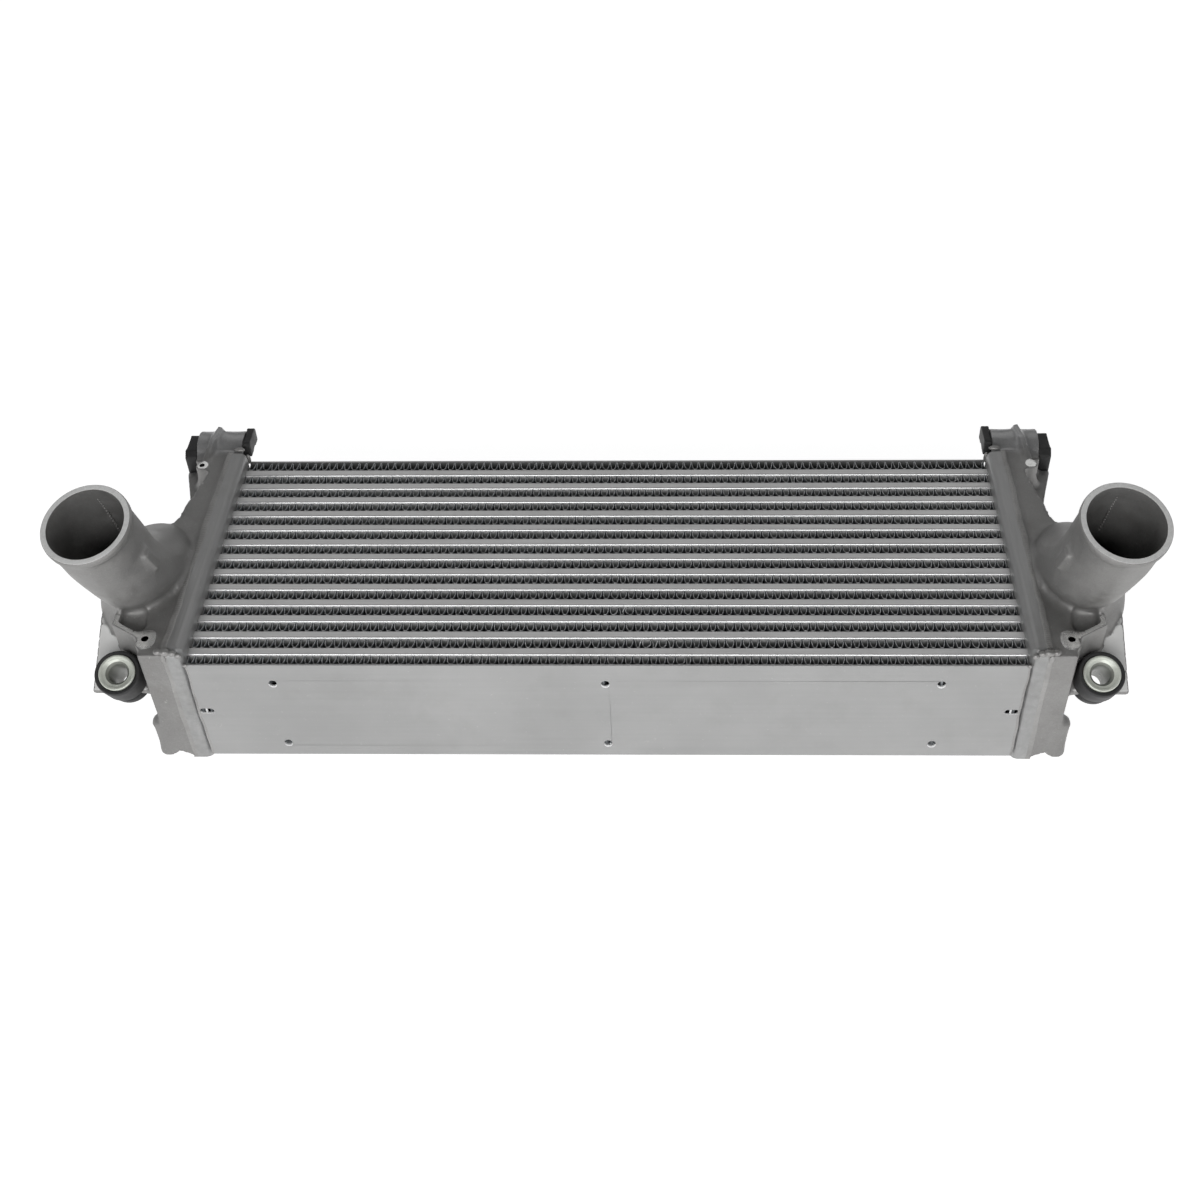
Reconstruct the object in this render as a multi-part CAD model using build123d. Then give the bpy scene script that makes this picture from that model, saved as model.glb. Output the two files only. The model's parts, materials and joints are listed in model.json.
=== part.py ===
from build123d import *
import math
import os

# An all-aluminium charge air cooler lying on its back: a brazed core of flat
# tubes and folded fins, a pressed header and a cast tank at each end, rubber
# bushes at the bottom corners and rubber isolators at the top corners.
# X runs across the core, Y from the bottom side plate to the top one, and Z
# is the way the cooling air leaves the core face. Sizes are in millimetres.

# Core
CORE_LENGTH = 560.0
TUBE_COUNT = 13
TUBE_HEIGHT = 7.0
TUBE_DEPTH = 90.0
TUBE_WALL = 0.8
TUBE_REACH = 4.5
FIN_HEIGHT = 8.8
FIN_RECESS = 1.0
FIN_FOLDS = 10
FIN_SHEET = 0.4
FIN_END_GAP = 0.5
TURBULATOR_FOLDS = 2
TURBULATOR_SHEET = 0.35
TURBULATOR_END_GAP = 6.0

# Side plates
PLATE_THICKNESS = 1.5
PLATE_HOLE_RADIUS = 2.7
PLATE_HOLE_SPREAD = 224.0
PLATE_HOLE_SPACING = 60.0
PLATE_HOLE_OFFSET = -2.5
PLATE_SLOT_LENGTH = 9.5
PLATE_SLOT_HEIGHT = 4.5
PLATE_SLOT_INSET = 5.7

# Headers
HEADER_DEPTH = 12.0
HEADER_SHEET = 2.5
HEADER_EDGE_BEVEL = 3.5
HEADER_CORNER_BEVEL = 4.5
RIM_ABOVE_FACE = 12.0
RIM_BELOW_BACK = 8.0

# Cast tanks
TANK_WALL = 3.5
TANK_LIP = 4.0
TANK_LIP_BEVEL = 3.0
TANK_TOP_DROP = 3.5
TANK_BACK_RISE = 6.0
TANK_BACK_SLOPE = 24.0
TANK_END_WIDTH = 18.0
TANK_WIDE_WIDTH = 26.0
TANK_WIDE_AT = 133.0
TANK_FAR_WIDTH = 8.5
TANK_CORNER_RADIUS = 8.0

# Hose spigot and its elbow; each _OUT is how far out from the header joint
SPIGOT_BORE_RADIUS = 26.0
SPIGOT_RADIUS = 28.6
SPIGOT_BEAD_RADIUS = 30.0
SPIGOT_BEAD_LENGTH = 6.0
SPIGOT_BEAD_BEVEL = 1.3
MOUTH_OUT = 40.0
MOUTH_Y = 36.5
MOUTH_RISE = 92.5
MOUTH_TILT_OUT = 5.4
MOUTH_TILT_DOWN = 19.2
BARREL_LENGTH = 30.0
BEND_REACH = 64.0
BEND_RADIUS = 27.2
BEND_SHIFT = -4.0
ELBOW_SIDES = 20
ELBOW_STEPS = 2
ELBOW_OUT = 34.0
ELBOW_Y = 90.0
ELBOW_HALF_WIDTH = 30.0
ELBOW_HALF_LENGTH = 45.0
BELLY_DEPTH = 12.0
BELLY_OUT = 35.5
BELLY_Y = 86.0
BELLY_HALF_WIDTH = 31.5
BELLY_HALF_LENGTH = 49.0
CHIN_DEPTH = 38.0
CHIN_OUT = 34.5
CHIN_HALF_WIDTH = 25.0
CHIN_HALF_LENGTH = 45.0
KEEL_DEPTH = 72.0
KEEL_OUT = 13.0
KEEL_HALF_WIDTH = 8.0
KEEL_HALF_LENGTH = 32.0

# Lower bushes, each in a tilted open bracket on its tank
BUSH_OUT = 38.0
BUSH_Y = 4.6
BUSH_BELOW_FACE = 11.7
BUSH_TILT = 30.0
SLEEVE_FLANGE_RADIUS = 13.1
SLEEVE_FLANGE_THICKNESS = 2.0
SLEEVE_RADIUS = 8.5
SLEEVE_BORE_RADIUS = 6.5
SLEEVE_LENGTH = 32.0
BUSH_RADIUS = 15.8
BUSH_FRONT_LENGTH = 16.5
BUSH_WAIST_RADIUS = 10.5
BUSH_REAR_RADIUS = 14.5
BUSH_REAR_LENGTH = 7.0
BRACKET_THICKNESS = 5.0
BRACKET_EDGE_OUT = 60.0
BRACKET_LOW_EDGE = 9.3
BRACKET_HIGH_EDGE = 46.0

# Tapped lug with its bent rib, beside each lower bush
LUG_OUT = 15.7
LUG_Y = 14.5
LUG_WIDTH = 12.2
LUG_LENGTH = 17.0
LUG_CORNER = 5.0
LUG_DEPTH = 36.0
LUG_PROUD = 2.0
LUG_HOLE_RADIUS = 2.5
LUG_HOLE_DEPTH = 14.0
LUG_RIB_THICKNESS = 4.5
LUG_RIB_DEPTH = 23.0
LUG_RIB_REACH = 24.0
LUG_RIB_RISE = 15.0
LUG_RIB_TIP = 14.0

# Round boss at the back corner of the end wall
BACK_BOSS_OUT = 19.5
BACK_BOSS_Y = 7.4
BACK_BOSS_RADIUS = 7.2
BACK_BOSS_BEVEL = 3.6
BACK_BOSS_TOP = 40.0

# Upper bracket, saddle, screw boss and isolator
EAR_TOP = 86.0
EAR_THICKNESS = 4.0
EAR_EDGE_OUT = 39.0
EAR_CORNER_OUT = 29.5
EAR_CORNER_Y = 184.0
EAR_NEAR_Y = 152.0
SADDLE_GAP = 16.5
SADDLE_HEIGHT = 95.0
SADDLE_RADIUS = 15.5
SADDLE_WALL = 4.0
SADDLE_INSIDE = 6.5
SADDLE_OUT = 29.0
SADDLE_ROOT_TOP = 101.0
SCREW_BOSS_OUT = 20.0
SCREW_BOSS_Y = 202.0
SCREW_BOSS_RADIUS = 5.0
SCREW_BOSS_FOOT_RADIUS = 8.5
SCREW_BOSS_FOOT_HEIGHT = 10.5
SCREW_BOSS_HOLE_RADIUS = 2.0
SCREW_BOSS_HOLE_DEPTH = 12.0
RIDGE_THICKNESS = 4.0
RIDGE_GAP = 1.2
RIDGE_SLOPE = 19.0
RIDGE_PAST = 6.0
RIDGE_SINK = 3.0
RIDGE_HEIGHT = 4.5
RIDGE_SHIFT = 8.0
ISOLATOR_PAD_THICKNESS = 6.0
ISOLATOR_PAD_WIDTH = 22.0
ISOLATOR_PAD_HEIGHT = 18.0
ISOLATOR_PAD_CORNER = 2.0
ISOLATOR_CHEEK_THICKNESS = 12.0
ISOLATOR_CHEEK_WIDTH = 28.0
ISOLATOR_CHEEK_RISE = 8.5
ISOLATOR_CHEEK_DROP = 10.5
ISOLATOR_CHEEK_CORNER = 4.5
ISOLATOR_HOLE_RADIUS = 4.5
ISOLATOR_ARM_THICKNESS = 4.0
ISOLATOR_ARM_LENGTH = 58.0
ISOLATOR_ARM_HEIGHT = 12.0
ISOLATOR_ARM_TURN = 14.5
ISOLATOR_ARM_ROOT = 7.0

# Worked out from the driving sizes
HALF_CORE = CORE_LENGTH / 2
CORE_BACK = RIM_BELOW_BACK
CORE_FACE = CORE_BACK + TUBE_DEPTH
RIM_TOP = CORE_FACE + RIM_ABOVE_FACE
TUBE_PITCH = TUBE_HEIGHT + FIN_HEIGHT
CORE_HEIGHT = 2 * PLATE_THICKNESS + TUBE_COUNT * TUBE_PITCH + FIN_HEIGHT
TANK_X = HALF_CORE + HEADER_DEPTH
TANK_TOP = RIM_TOP - TANK_TOP_DROP
MOUTH_X = TANK_X + MOUTH_OUT
ELBOW_X = TANK_X + ELBOW_OUT
BELLY_X = TANK_X + BELLY_OUT
CHIN_X = TANK_X + CHIN_OUT
KEEL_X = TANK_X + KEEL_OUT
BUSH_X = TANK_X + BUSH_OUT
BRACKET_EDGE_X = TANK_X + BRACKET_EDGE_OUT
LUG_X = TANK_X + LUG_OUT
BACK_BOSS_X = TANK_X + BACK_BOSS_OUT
EAR_EDGE_X = TANK_X + EAR_EDGE_OUT
EAR_CORNER_X = TANK_X + EAR_CORNER_OUT
SADDLE_INNER_X = TANK_X - SADDLE_INSIDE
SADDLE_OUTER_X = TANK_X + SADDLE_OUT
SCREW_BOSS_X = TANK_X + SCREW_BOSS_OUT
SADDLE_Y = CORE_HEIGHT + SADDLE_GAP
LUG_TOP = TANK_TOP + LUG_PROUD
BUSH_LEAN = math.radians(BUSH_TILT)
PART_LOW_Y = BUSH_Y + SLEEVE_FLANGE_THICKNESS * math.sin(BUSH_LEAN) - BUSH_RADIUS * math.cos(BUSH_LEAN)
PART_HIGH_Y = SADDLE_Y + SADDLE_RADIUS
PART_MIDDLE_Y = (PART_LOW_Y + PART_HIGH_Y) / 2


def block(x0, x1, y0, y1, z0, z1):
    """A box between two corners."""
    low = (Align.MIN, Align.MIN, Align.MIN)
    return Pos(x0, y0, z0) * Box(x1 - x0, y1 - y0, z1 - z0, align=low)


def prism(points, plane, depth):
    """A closed outline of straight edges, raised from its plane."""
    outline = Polyline(*points, close=True)
    return extrude(plane * make_face(outline), depth)


def folded_sheet(length, height, folds, sheet):
    """The end view of a strip folded in and out, from x = 0 and y = 0."""
    step = length / folds / 2
    inner = [(step * i, (height - sheet) * (i % 2)) for i in range(2 * folds + 1)]
    outer = [(x, y + sheet) for x, y in reversed(inner)]
    return make_face(Polyline(*inner, *outer, close=True))


def tube_low_edge(number):
    """The bottom face of one tube, counted from the bottom side plate."""
    return PLATE_THICKNESS + FIN_HEIGHT + number * TUBE_PITCH


def fin_low_edge(number):
    """The bottom of one fin row, counted from the bottom side plate."""
    return PLATE_THICKNESS + number * TUBE_PITCH


def charge_tube(number):
    """A flat brazed tube, open at both ends and reaching through the headers."""
    reach = HALF_CORE + TUBE_REACH
    low = tube_low_edge(number)
    high = low + TUBE_HEIGHT
    skin = block(-reach, reach, low, high, CORE_BACK, CORE_FACE)
    wall = TUBE_WALL
    hollow = block(-reach, reach, low + wall, high - wall, CORE_BACK + wall, CORE_FACE - wall)
    return skin - hollow


def turbulator(number):
    """The folded strip inside one tube, brazed to its two broad walls."""
    reach = HALF_CORE - TURBULATOR_END_GAP
    across = TUBE_DEPTH - 2 * TUBE_WALL
    height = TUBE_HEIGHT - 2 * TUBE_WALL
    corner = (-reach, tube_low_edge(number) + TUBE_WALL, CORE_FACE - TUBE_WALL)
    end_plane = Plane(origin=corner, x_dir=(0, 0, -1), z_dir=(1, 0, 0))
    profile = folded_sheet(across, height, TURBULATOR_FOLDS, TURBULATOR_SHEET)
    return extrude(end_plane * profile, 2 * reach)


def air_fin(number):
    """One folded fin row between two tubes, or between a tube and a side plate."""
    length = CORE_LENGTH - 2 * FIN_END_GAP
    corner = (-length / 2, fin_low_edge(number), CORE_BACK + FIN_RECESS)
    profile = folded_sheet(length, FIN_HEIGHT, FIN_FOLDS, FIN_SHEET)
    return extrude(Plane(origin=corner) * profile, TUBE_DEPTH - 2 * FIN_RECESS)


def side_plate(low):
    """A flat side plate, from its lower face."""
    return block(-HALF_CORE, HALF_CORE, low, low + PLATE_THICKNESS, CORE_BACK, CORE_FACE)


def lower_side_plate():
    """The bottom plate, with six fixing holes and a slot near each end."""
    plate = side_plate(0)
    front = Plane(origin=(0, 0, (CORE_BACK + CORE_FACE) / 2), x_dir=(1, 0, 0), z_dir=(0, -1, 0))
    rows = Pos(0, PLATE_HOLE_OFFSET) * GridLocations(PLATE_HOLE_SPREAD, PLATE_HOLE_SPACING, 3, 2)
    slot_spread = CORE_LENGTH - 2 * PLATE_SLOT_INSET
    slots = GridLocations(slot_spread, 0, 2, 1) * SlotOverall(PLATE_SLOT_LENGTH, PLATE_SLOT_HEIGHT)
    holes = rows * Circle(PLATE_HOLE_RADIUS)
    cut = Sketch() + holes + slots
    return plate - extrude(front * cut, -PLATE_THICKNESS)


def upper_side_plate():
    """The plain plate on the other side of the core."""
    return side_plate(CORE_HEIGHT - PLATE_THICKNESS)


def tray_form(start, inset):
    """The block of the header with its corners cut off, drawn in by one thickness."""
    form = block(start, TANK_X, inset, CORE_HEIGHT - inset, inset, RIM_TOP - inset)
    corner = HEADER_CORNER_BEVEL - inset * (2 - math.sqrt(2))
    return chamfer(form.edges().filter_by(Axis.X), corner)


def header():
    """A pressed tray whose floor holds the tube ends, for the +X end."""
    outside = tray_form(HALF_CORE, 0)
    floor_edge = outside.edges().group_by(Axis.X)[0]
    tray = chamfer(floor_edge, HEADER_EDGE_BEVEL) - tray_form(HALF_CORE + HEADER_SHEET, HEADER_SHEET)
    for number in range(TUBE_COUNT):
        low = tube_low_edge(number)
        tray -= block(HALF_CORE, TANK_X, low, low + TUBE_HEIGHT, CORE_BACK, CORE_FACE)
    return tray


def mouth_plane():
    """The plane of the spigot mouth, facing out along the spigot."""
    side = math.tan(math.radians(MOUTH_TILT_OUT))
    down = math.tan(math.radians(MOUTH_TILT_DOWN))
    centre = (MOUTH_X, MOUTH_Y, CORE_FACE + MOUTH_RISE)
    return Plane(origin=centre, x_dir=(1, 0, -side), z_dir=(side, -down, 1))


def oval(level, half_width, half_length, inset):
    """The corners of one oval section of the elbow, on its own plane."""
    corners = []
    for side in range(ELBOW_SIDES):
        angle = 2 * math.pi * side / ELBOW_SIDES
        across = (half_width - inset) * math.cos(angle)
        along = (half_length - inset) * math.sin(angle)
        corners.append(level.from_local_coords(Vector(across, along)))
    return corners


def eased(before, start, end, after, share):
    """A point between start and end on the smooth curve through all four."""
    first = (end - before) * share
    second = (before * 2 - start * 5 + end * 4 - after) * share**2
    third = (start * 3 - before - end * 3 + after) * share**3
    return start + (first + second + third) * 0.5


def trough(inset):
    """The box of the tank, wide beside the elbow and narrow at the top end."""
    near = TANK_X + TANK_END_WIDTH - inset
    wide = TANK_X + TANK_WIDE_WIDTH - inset
    far = TANK_X + TANK_FAR_WIDTH - inset
    plan = [
        (TANK_X, inset),
        (near, inset),
        (wide, TANK_WIDE_AT),
        (far, CORE_HEIGHT - inset),
        (TANK_X, CORE_HEIGHT - inset),
    ]
    body = prism(plan, Plane.XY, TANK_TOP - inset)
    low = TANK_BACK_RISE + inset
    reach = TANK_WIDE_WIDTH
    rise = reach * math.tan(math.radians(TANK_BACK_SLOPE))
    wedge = [(0, -low), (reach, -low), (reach, low + rise), (0, low)]
    under = prism(wedge, Plane(origin=(TANK_X, 0, 0), x_dir=(1, 0, 0), z_dir=(0, -1, 0)), -CORE_HEIGHT)
    body -= under
    outer_edges = body.faces().filter_by(Axis.Z, reverse=True).sort_by(Axis.Z)[0].edges()
    return fillet(outer_edges.sort_by(Axis.X)[-2:], TANK_CORNER_RADIUS - inset)


def elbow_sections(inset):
    """The elbow's own sections from the lowest up, and the mouth above them."""
    mouth = mouth_plane()
    turn = mouth.offset(-BEND_REACH)
    turn.origin += Vector(BEND_SHIFT, 0, 0)
    keel = Plane(origin=(KEEL_X, BELLY_Y, CORE_FACE - KEEL_DEPTH))
    chin = Plane(origin=(CHIN_X, BELLY_Y, CORE_FACE - CHIN_DEPTH))
    belly = Plane(origin=(BELLY_X, BELLY_Y, CORE_FACE - BELLY_DEPTH))
    neck = Plane(origin=(ELBOW_X, ELBOW_Y, TANK_TOP))
    return [
        oval(keel, KEEL_HALF_WIDTH, KEEL_HALF_LENGTH, inset),
        oval(chin, CHIN_HALF_WIDTH, CHIN_HALF_LENGTH, inset),
        oval(belly, BELLY_HALF_WIDTH, BELLY_HALF_LENGTH, inset),
        oval(neck, ELBOW_HALF_WIDTH, ELBOW_HALF_LENGTH, inset),
        oval(turn, BEND_RADIUS, BEND_RADIUS, inset),
        oval(mouth.offset(-BARREL_LENGTH), SPIGOT_RADIUS, SPIGOT_RADIUS, inset),
        oval(mouth, SPIGOT_RADIUS, SPIGOT_RADIUS, inset),
    ]


def elbow(inset):
    """The passage from inside the trough up to the foot of the barrel, in plane facets."""
    keys = elbow_sections(inset)
    keys.insert(0, [low * 2 - high for low, high in zip(keys[0], keys[1])])
    rings = []
    for four in zip(keys, keys[1:], keys[2:], keys[3:]):
        for step in range(ELBOW_STEPS):
            rings.append([eased(*corners, step / ELBOW_STEPS) for corners in zip(*four)])
    rings.append(keys[-2])
    skin = [Face(Wire.make_polygon(rings[0])), Face(Wire.make_polygon(rings[-1]))]
    for lower, upper in zip(rings, rings[1:]):
        for side in range(ELBOW_SIDES):
            a, b = lower[side - 1], lower[side]
            c, d = upper[side], upper[side - 1]
            skin.append(Face(Wire.make_polygon([a, b, c])))
            skin.append(Face(Wire.make_polygon([a, c, d])))
    return Solid(Shell(skin))


def barrel(radius, length):
    """The straight run of the spigot, back from its mouth."""
    return extrude(mouth_plane() * Circle(radius), -length)


def bead():
    """The rounded collar at the mouth that holds the hose on."""
    collar = barrel(SPIGOT_BEAD_RADIUS, SPIGOT_BEAD_LENGTH)
    foot = collar.edges().filter_by(GeomType.CIRCLE).sort_by(Axis.Z)[0]
    return chamfer(foot, SPIGOT_BEAD_BEVEL)


def bush_plane():
    """The seat of the sleeve flange, facing out along the bush."""
    tilt = math.radians(BUSH_TILT)
    centre = (BUSH_X, BUSH_Y, CORE_FACE - BUSH_BELOW_FACE)
    return Plane(origin=centre, x_dir=(1, 0, 0), z_dir=(0, -math.sin(tilt), math.cos(tilt)))


def bush_bracket():
    """The tilted plate beside the tank, with an open slot for the bush waist."""
    top = SLEEVE_FLANGE_THICKNESS + BUSH_FRONT_LENGTH
    seat = bush_plane().offset(-top)
    inner = TANK_X + TANK_END_WIDTH - TANK_WALL - BUSH_X
    outer = BRACKET_EDGE_X - BUSH_X
    outline = Polyline(
        (inner, -BRACKET_LOW_EDGE),
        (outer, -BRACKET_LOW_EDGE),
        (outer, BRACKET_HIGH_EDGE),
        (inner, BRACKET_HIGH_EDGE),
        close=True,
    )
    waist = BUSH_WAIST_RADIUS
    slot = Circle(waist) + Pos(0, -waist) * Rectangle(2 * waist, 2 * waist)
    return extrude(seat * (make_face(outline) - slot), -BRACKET_THICKNESS)


def lug():
    """The tapped lug on the top edge, with the bent rib that runs to the elbow."""
    low = LUG_TOP - LUG_DEPTH
    outline = RectangleRounded(LUG_WIDTH, LUG_LENGTH, LUG_CORNER)
    column = extrude(Pos(LUG_X, LUG_Y, low) * outline, LUG_DEPTH)
    corner = (LUG_X + LUG_RIB_REACH, LUG_Y + LUG_RIB_RISE)
    route = Polyline((LUG_X, LUG_Y), corner, (corner[0], corner[1] + LUG_RIB_TIP))
    wall = trace(route, LUG_RIB_THICKNESS)
    return column + extrude(Pos(0, 0, LUG_TOP - LUG_RIB_DEPTH) * wall, LUG_RIB_DEPTH)


def back_boss():
    """The domed boss at the back corner."""
    height = BACK_BOSS_TOP - TANK_BACK_RISE
    foot = Plane(origin=(BACK_BOSS_X, BACK_BOSS_Y, TANK_BACK_RISE))
    boss = extrude(foot * Circle(BACK_BOSS_RADIUS), height)
    return chamfer(boss.edges().sort_by(Axis.Z)[-1], BACK_BOSS_BEVEL)


def ear():
    """The flat bracket at the top end, below the tank's slanted edge."""
    root = TANK_X + TANK_FAR_WIDTH - TANK_WALL
    far = SADDLE_Y - ISOLATOR_CHEEK_WIDTH / 2
    points = [
        (root, EAR_NEAR_Y),
        (TANK_X + TANK_END_WIDTH, EAR_NEAR_Y),
        (EAR_CORNER_X, EAR_CORNER_Y),
        (EAR_EDGE_X, CORE_HEIGHT),
        (EAR_EDGE_X, far),
        (root, far),
    ]
    return prism(points, Plane(origin=(0, 0, EAR_TOP - EAR_THICKNESS)), EAR_THICKNESS)


def saddle_plane(x):
    """A plane across the isolator, at one place along it."""
    return Plane(origin=(x, SADDLE_Y, SADDLE_HEIGHT), x_dir=(0, 1, 0), z_dir=(1, 0, 0))


def arch(radius):
    """Half a disc with straight legs down to the top of the ear."""
    drop = SADDLE_HEIGHT - EAR_TOP
    legs = Pos(0, -drop / 2) * Rectangle(2 * radius, drop)
    crown = Circle(radius) - Pos(0, -radius) * Rectangle(2 * radius, 2 * radius)
    return crown + legs


def saddle():
    """The half-round strap over the isolator, and its root on the tank."""
    length = SADDLE_OUTER_X - SADDLE_INNER_X
    strap = arch(SADDLE_RADIUS) - arch(SADDLE_RADIUS - SADDLE_WALL)
    band = extrude(saddle_plane(SADDLE_INNER_X) * strap, length)
    root_x = TANK_X + TANK_LIP
    near = CORE_HEIGHT - TANK_WALL
    far = SADDLE_Y - SADDLE_RADIUS + SADDLE_WALL
    return band + block(root_x, SADDLE_OUTER_X, near, far, EAR_TOP - EAR_THICKNESS, SADDLE_ROOT_TOP)


def screw_boss():
    """The upright boss on the ear, flared at its foot."""
    foot = Plane(origin=(SCREW_BOSS_X, SCREW_BOSS_Y, EAR_TOP))
    height = TANK_TOP - EAR_TOP
    post = extrude(foot * Circle(SCREW_BOSS_RADIUS), height)
    base = (Align.CENTER, Align.CENTER, Align.MIN)
    return post + foot * Cone(SCREW_BOSS_FOOT_RADIUS, SCREW_BOSS_RADIUS, SCREW_BOSS_FOOT_HEIGHT, align=base)


def ridge():
    """The thin rib from behind the screw hole up over the saddle."""
    start = SCREW_BOSS_HOLE_RADIUS + RIDGE_GAP
    run = SADDLE_Y + RIDGE_PAST - SCREW_BOSS_Y
    angle = math.degrees(math.atan2(RIDGE_SHIFT, run))
    side = Plane(origin=(SCREW_BOSS_X, SCREW_BOSS_Y, 0), x_dir=(0, 1, 0), z_dir=(1, 0, 0))
    crown = SADDLE_HEIGHT + SADDLE_RADIUS
    outline = Polyline(
        (start, EAR_TOP),
        (start, TANK_TOP),
        (start + RIDGE_SLOPE, crown + RIDGE_HEIGHT),
        (run, crown + RIDGE_HEIGHT),
        (run, crown - RIDGE_SINK),
        (run - SADDLE_RADIUS, crown - RIDGE_SINK),
        (CORE_HEIGHT - SCREW_BOSS_Y, EAR_TOP),
        close=True,
    )
    wall = extrude(side * make_face(outline), RIDGE_THICKNESS / 2, both=True)
    return wall.rotate(Axis((SCREW_BOSS_X, SCREW_BOSS_Y, 0), (0, 0, 1)), angle)


def tank():
    """The cast tank of the +X end, hollow from the header to the spigot mouth."""
    lip = block(TANK_X, TANK_X + TANK_LIP, 0, CORE_HEIGHT, 0, RIM_TOP)
    lip = chamfer(lip.edges().filter_by(Axis.X), HEADER_CORNER_BEVEL)
    lip = chamfer(lip.edges().group_by(Axis.X)[-1], TANK_LIP_BEVEL)
    outside = lip + trough(0) + elbow(0) + bush_bracket() + ear()
    outside += barrel(SPIGOT_RADIUS, BARREL_LENGTH) + bead()
    inside = trough(TANK_WALL) + elbow(SPIGOT_RADIUS - SPIGOT_BORE_RADIUS)
    inside += barrel(SPIGOT_BORE_RADIUS, BARREL_LENGTH)
    casting = outside - inside
    casting += lug() + back_boss() + saddle() + screw_boss() + ridge()
    return casting - drilled_holes()


def drilled_holes():
    """The tapped holes of the lug and the screw boss."""
    lug_mouth = Plane(origin=(LUG_X, LUG_Y, LUG_TOP))
    screw_mouth = Plane(origin=(SCREW_BOSS_X, SCREW_BOSS_Y, TANK_TOP))
    holes = extrude(lug_mouth * Circle(LUG_HOLE_RADIUS), -LUG_HOLE_DEPTH)
    holes += extrude(screw_mouth * Circle(SCREW_BOSS_HOLE_RADIUS), -SCREW_BOSS_HOLE_DEPTH)
    return holes


def bush_rubber():
    """The rubber bush, with a waist that seats in the bracket slot."""
    front = -SLEEVE_FLANGE_THICKNESS
    waist = front - BUSH_FRONT_LENGTH
    rear = waist - BRACKET_THICKNESS
    end = rear - BUSH_REAR_LENGTH
    profile = Polyline(
        (SLEEVE_RADIUS, front),
        (BUSH_RADIUS, front),
        (BUSH_RADIUS, waist),
        (BUSH_WAIST_RADIUS, waist),
        (BUSH_WAIST_RADIUS, rear),
        (BUSH_REAR_RADIUS, rear),
        (BUSH_REAR_RADIUS, end),
        (SLEEVE_RADIUS, end),
        close=True,
    )
    ring = revolve(Plane.XZ * make_face(profile), Axis.Z)
    return bush_plane() * ring


def bush_sleeve():
    """The plated steel sleeve, flanged on the core face side."""
    profile = Polyline(
        (SLEEVE_BORE_RADIUS, 0),
        (SLEEVE_FLANGE_RADIUS, 0),
        (SLEEVE_FLANGE_RADIUS, -SLEEVE_FLANGE_THICKNESS),
        (SLEEVE_RADIUS, -SLEEVE_FLANGE_THICKNESS),
        (SLEEVE_RADIUS, -SLEEVE_LENGTH),
        (SLEEVE_BORE_RADIUS, -SLEEVE_LENGTH),
        close=True,
    )
    return bush_plane() * revolve(Plane.XZ * make_face(profile), Axis.Z)


def isolator():
    """The rubber isolator under the saddle, with an end pad, a cheek and an arm."""
    length = SADDLE_OUTER_X - SADDLE_INNER_X
    inner = saddle_plane(SADDLE_INNER_X)
    outer = saddle_plane(SADDLE_OUTER_X)
    core = extrude(inner * arch(SADDLE_RADIUS - SADDLE_WALL), length)
    crown = SADDLE_RADIUS - ISOLATOR_PAD_HEIGHT / 2
    pad = Rectangle(ISOLATOR_PAD_WIDTH, ISOLATOR_PAD_HEIGHT)
    pad = chamfer(pad.vertices(), ISOLATOR_PAD_CORNER)
    core += extrude(inner * (Pos(0, crown) * pad), -ISOLATOR_PAD_THICKNESS)
    low = EAR_TOP - EAR_THICKNESS - ISOLATOR_CHEEK_DROP - SADDLE_HEIGHT
    middle = (low + ISOLATOR_CHEEK_RISE) / 2
    cheek = Rectangle(ISOLATOR_CHEEK_WIDTH, ISOLATOR_CHEEK_RISE - low)
    cheek = chamfer(cheek.vertices(), ISOLATOR_CHEEK_CORNER)
    core += extrude(outer * (Pos(0, middle) * cheek), ISOLATOR_CHEEK_THICKNESS)
    core += isolator_arm()
    reach = length + ISOLATOR_PAD_THICKNESS + ISOLATOR_CHEEK_THICKNESS
    return core - extrude(inner.offset(-ISOLATOR_PAD_THICKNESS) * Circle(ISOLATOR_HOLE_RADIUS), reach)


def isolator_arm():
    """The arm of the isolator, under and beside the slanted edge of the ear."""
    low = (Align.MAX, Align.MAX, Align.MAX)
    arm = Box(ISOLATOR_ARM_THICKNESS, ISOLATOR_ARM_LENGTH, ISOLATOR_ARM_HEIGHT, align=low)
    root_y = SADDLE_Y - ISOLATOR_ARM_ROOT
    root = Pos(SADDLE_OUTER_X + ISOLATOR_CHEEK_THICKNESS, root_y, EAR_TOP - EAR_THICKNESS)
    return root * Rot(0, 0, -ISOLATOR_ARM_TURN) * arm


def build():
    """Every node by name, moved so that the origin is under the part's middle."""
    nodes = {}
    for number in range(TUBE_COUNT):
        nodes[f"charge_tube_{number + 1:02d}"] = charge_tube(number)
        nodes[f"turbulator_{number + 1:02d}"] = turbulator(number)
    for number in range(TUBE_COUNT + 1):
        nodes[f"air_fin_{number + 1:02d}"] = air_fin(number)
    nodes["lower_side_plate"] = lower_side_plate()
    nodes["upper_side_plate"] = upper_side_plate()
    paired = {
        "header": header(),
        "tank": tank(),
        "lower_bush": bush_rubber(),
        "bush_sleeve": bush_sleeve(),
        "upper_isolator": isolator(),
    }
    for name, piece in paired.items():
        nodes[f"{name}_right"] = piece
        nodes[f"{name}_left"] = mirror(piece, about=Plane.YZ)
    move = Pos(0, -PART_MIDDLE_Y, 0)
    return {name: move * piece for name, piece in nodes.items()}


if __name__ == "__main__":
    os.makedirs("parts", exist_ok=True)
    for name, piece in build().items():
        export_step(piece, f"parts/{name}.step")
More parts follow.
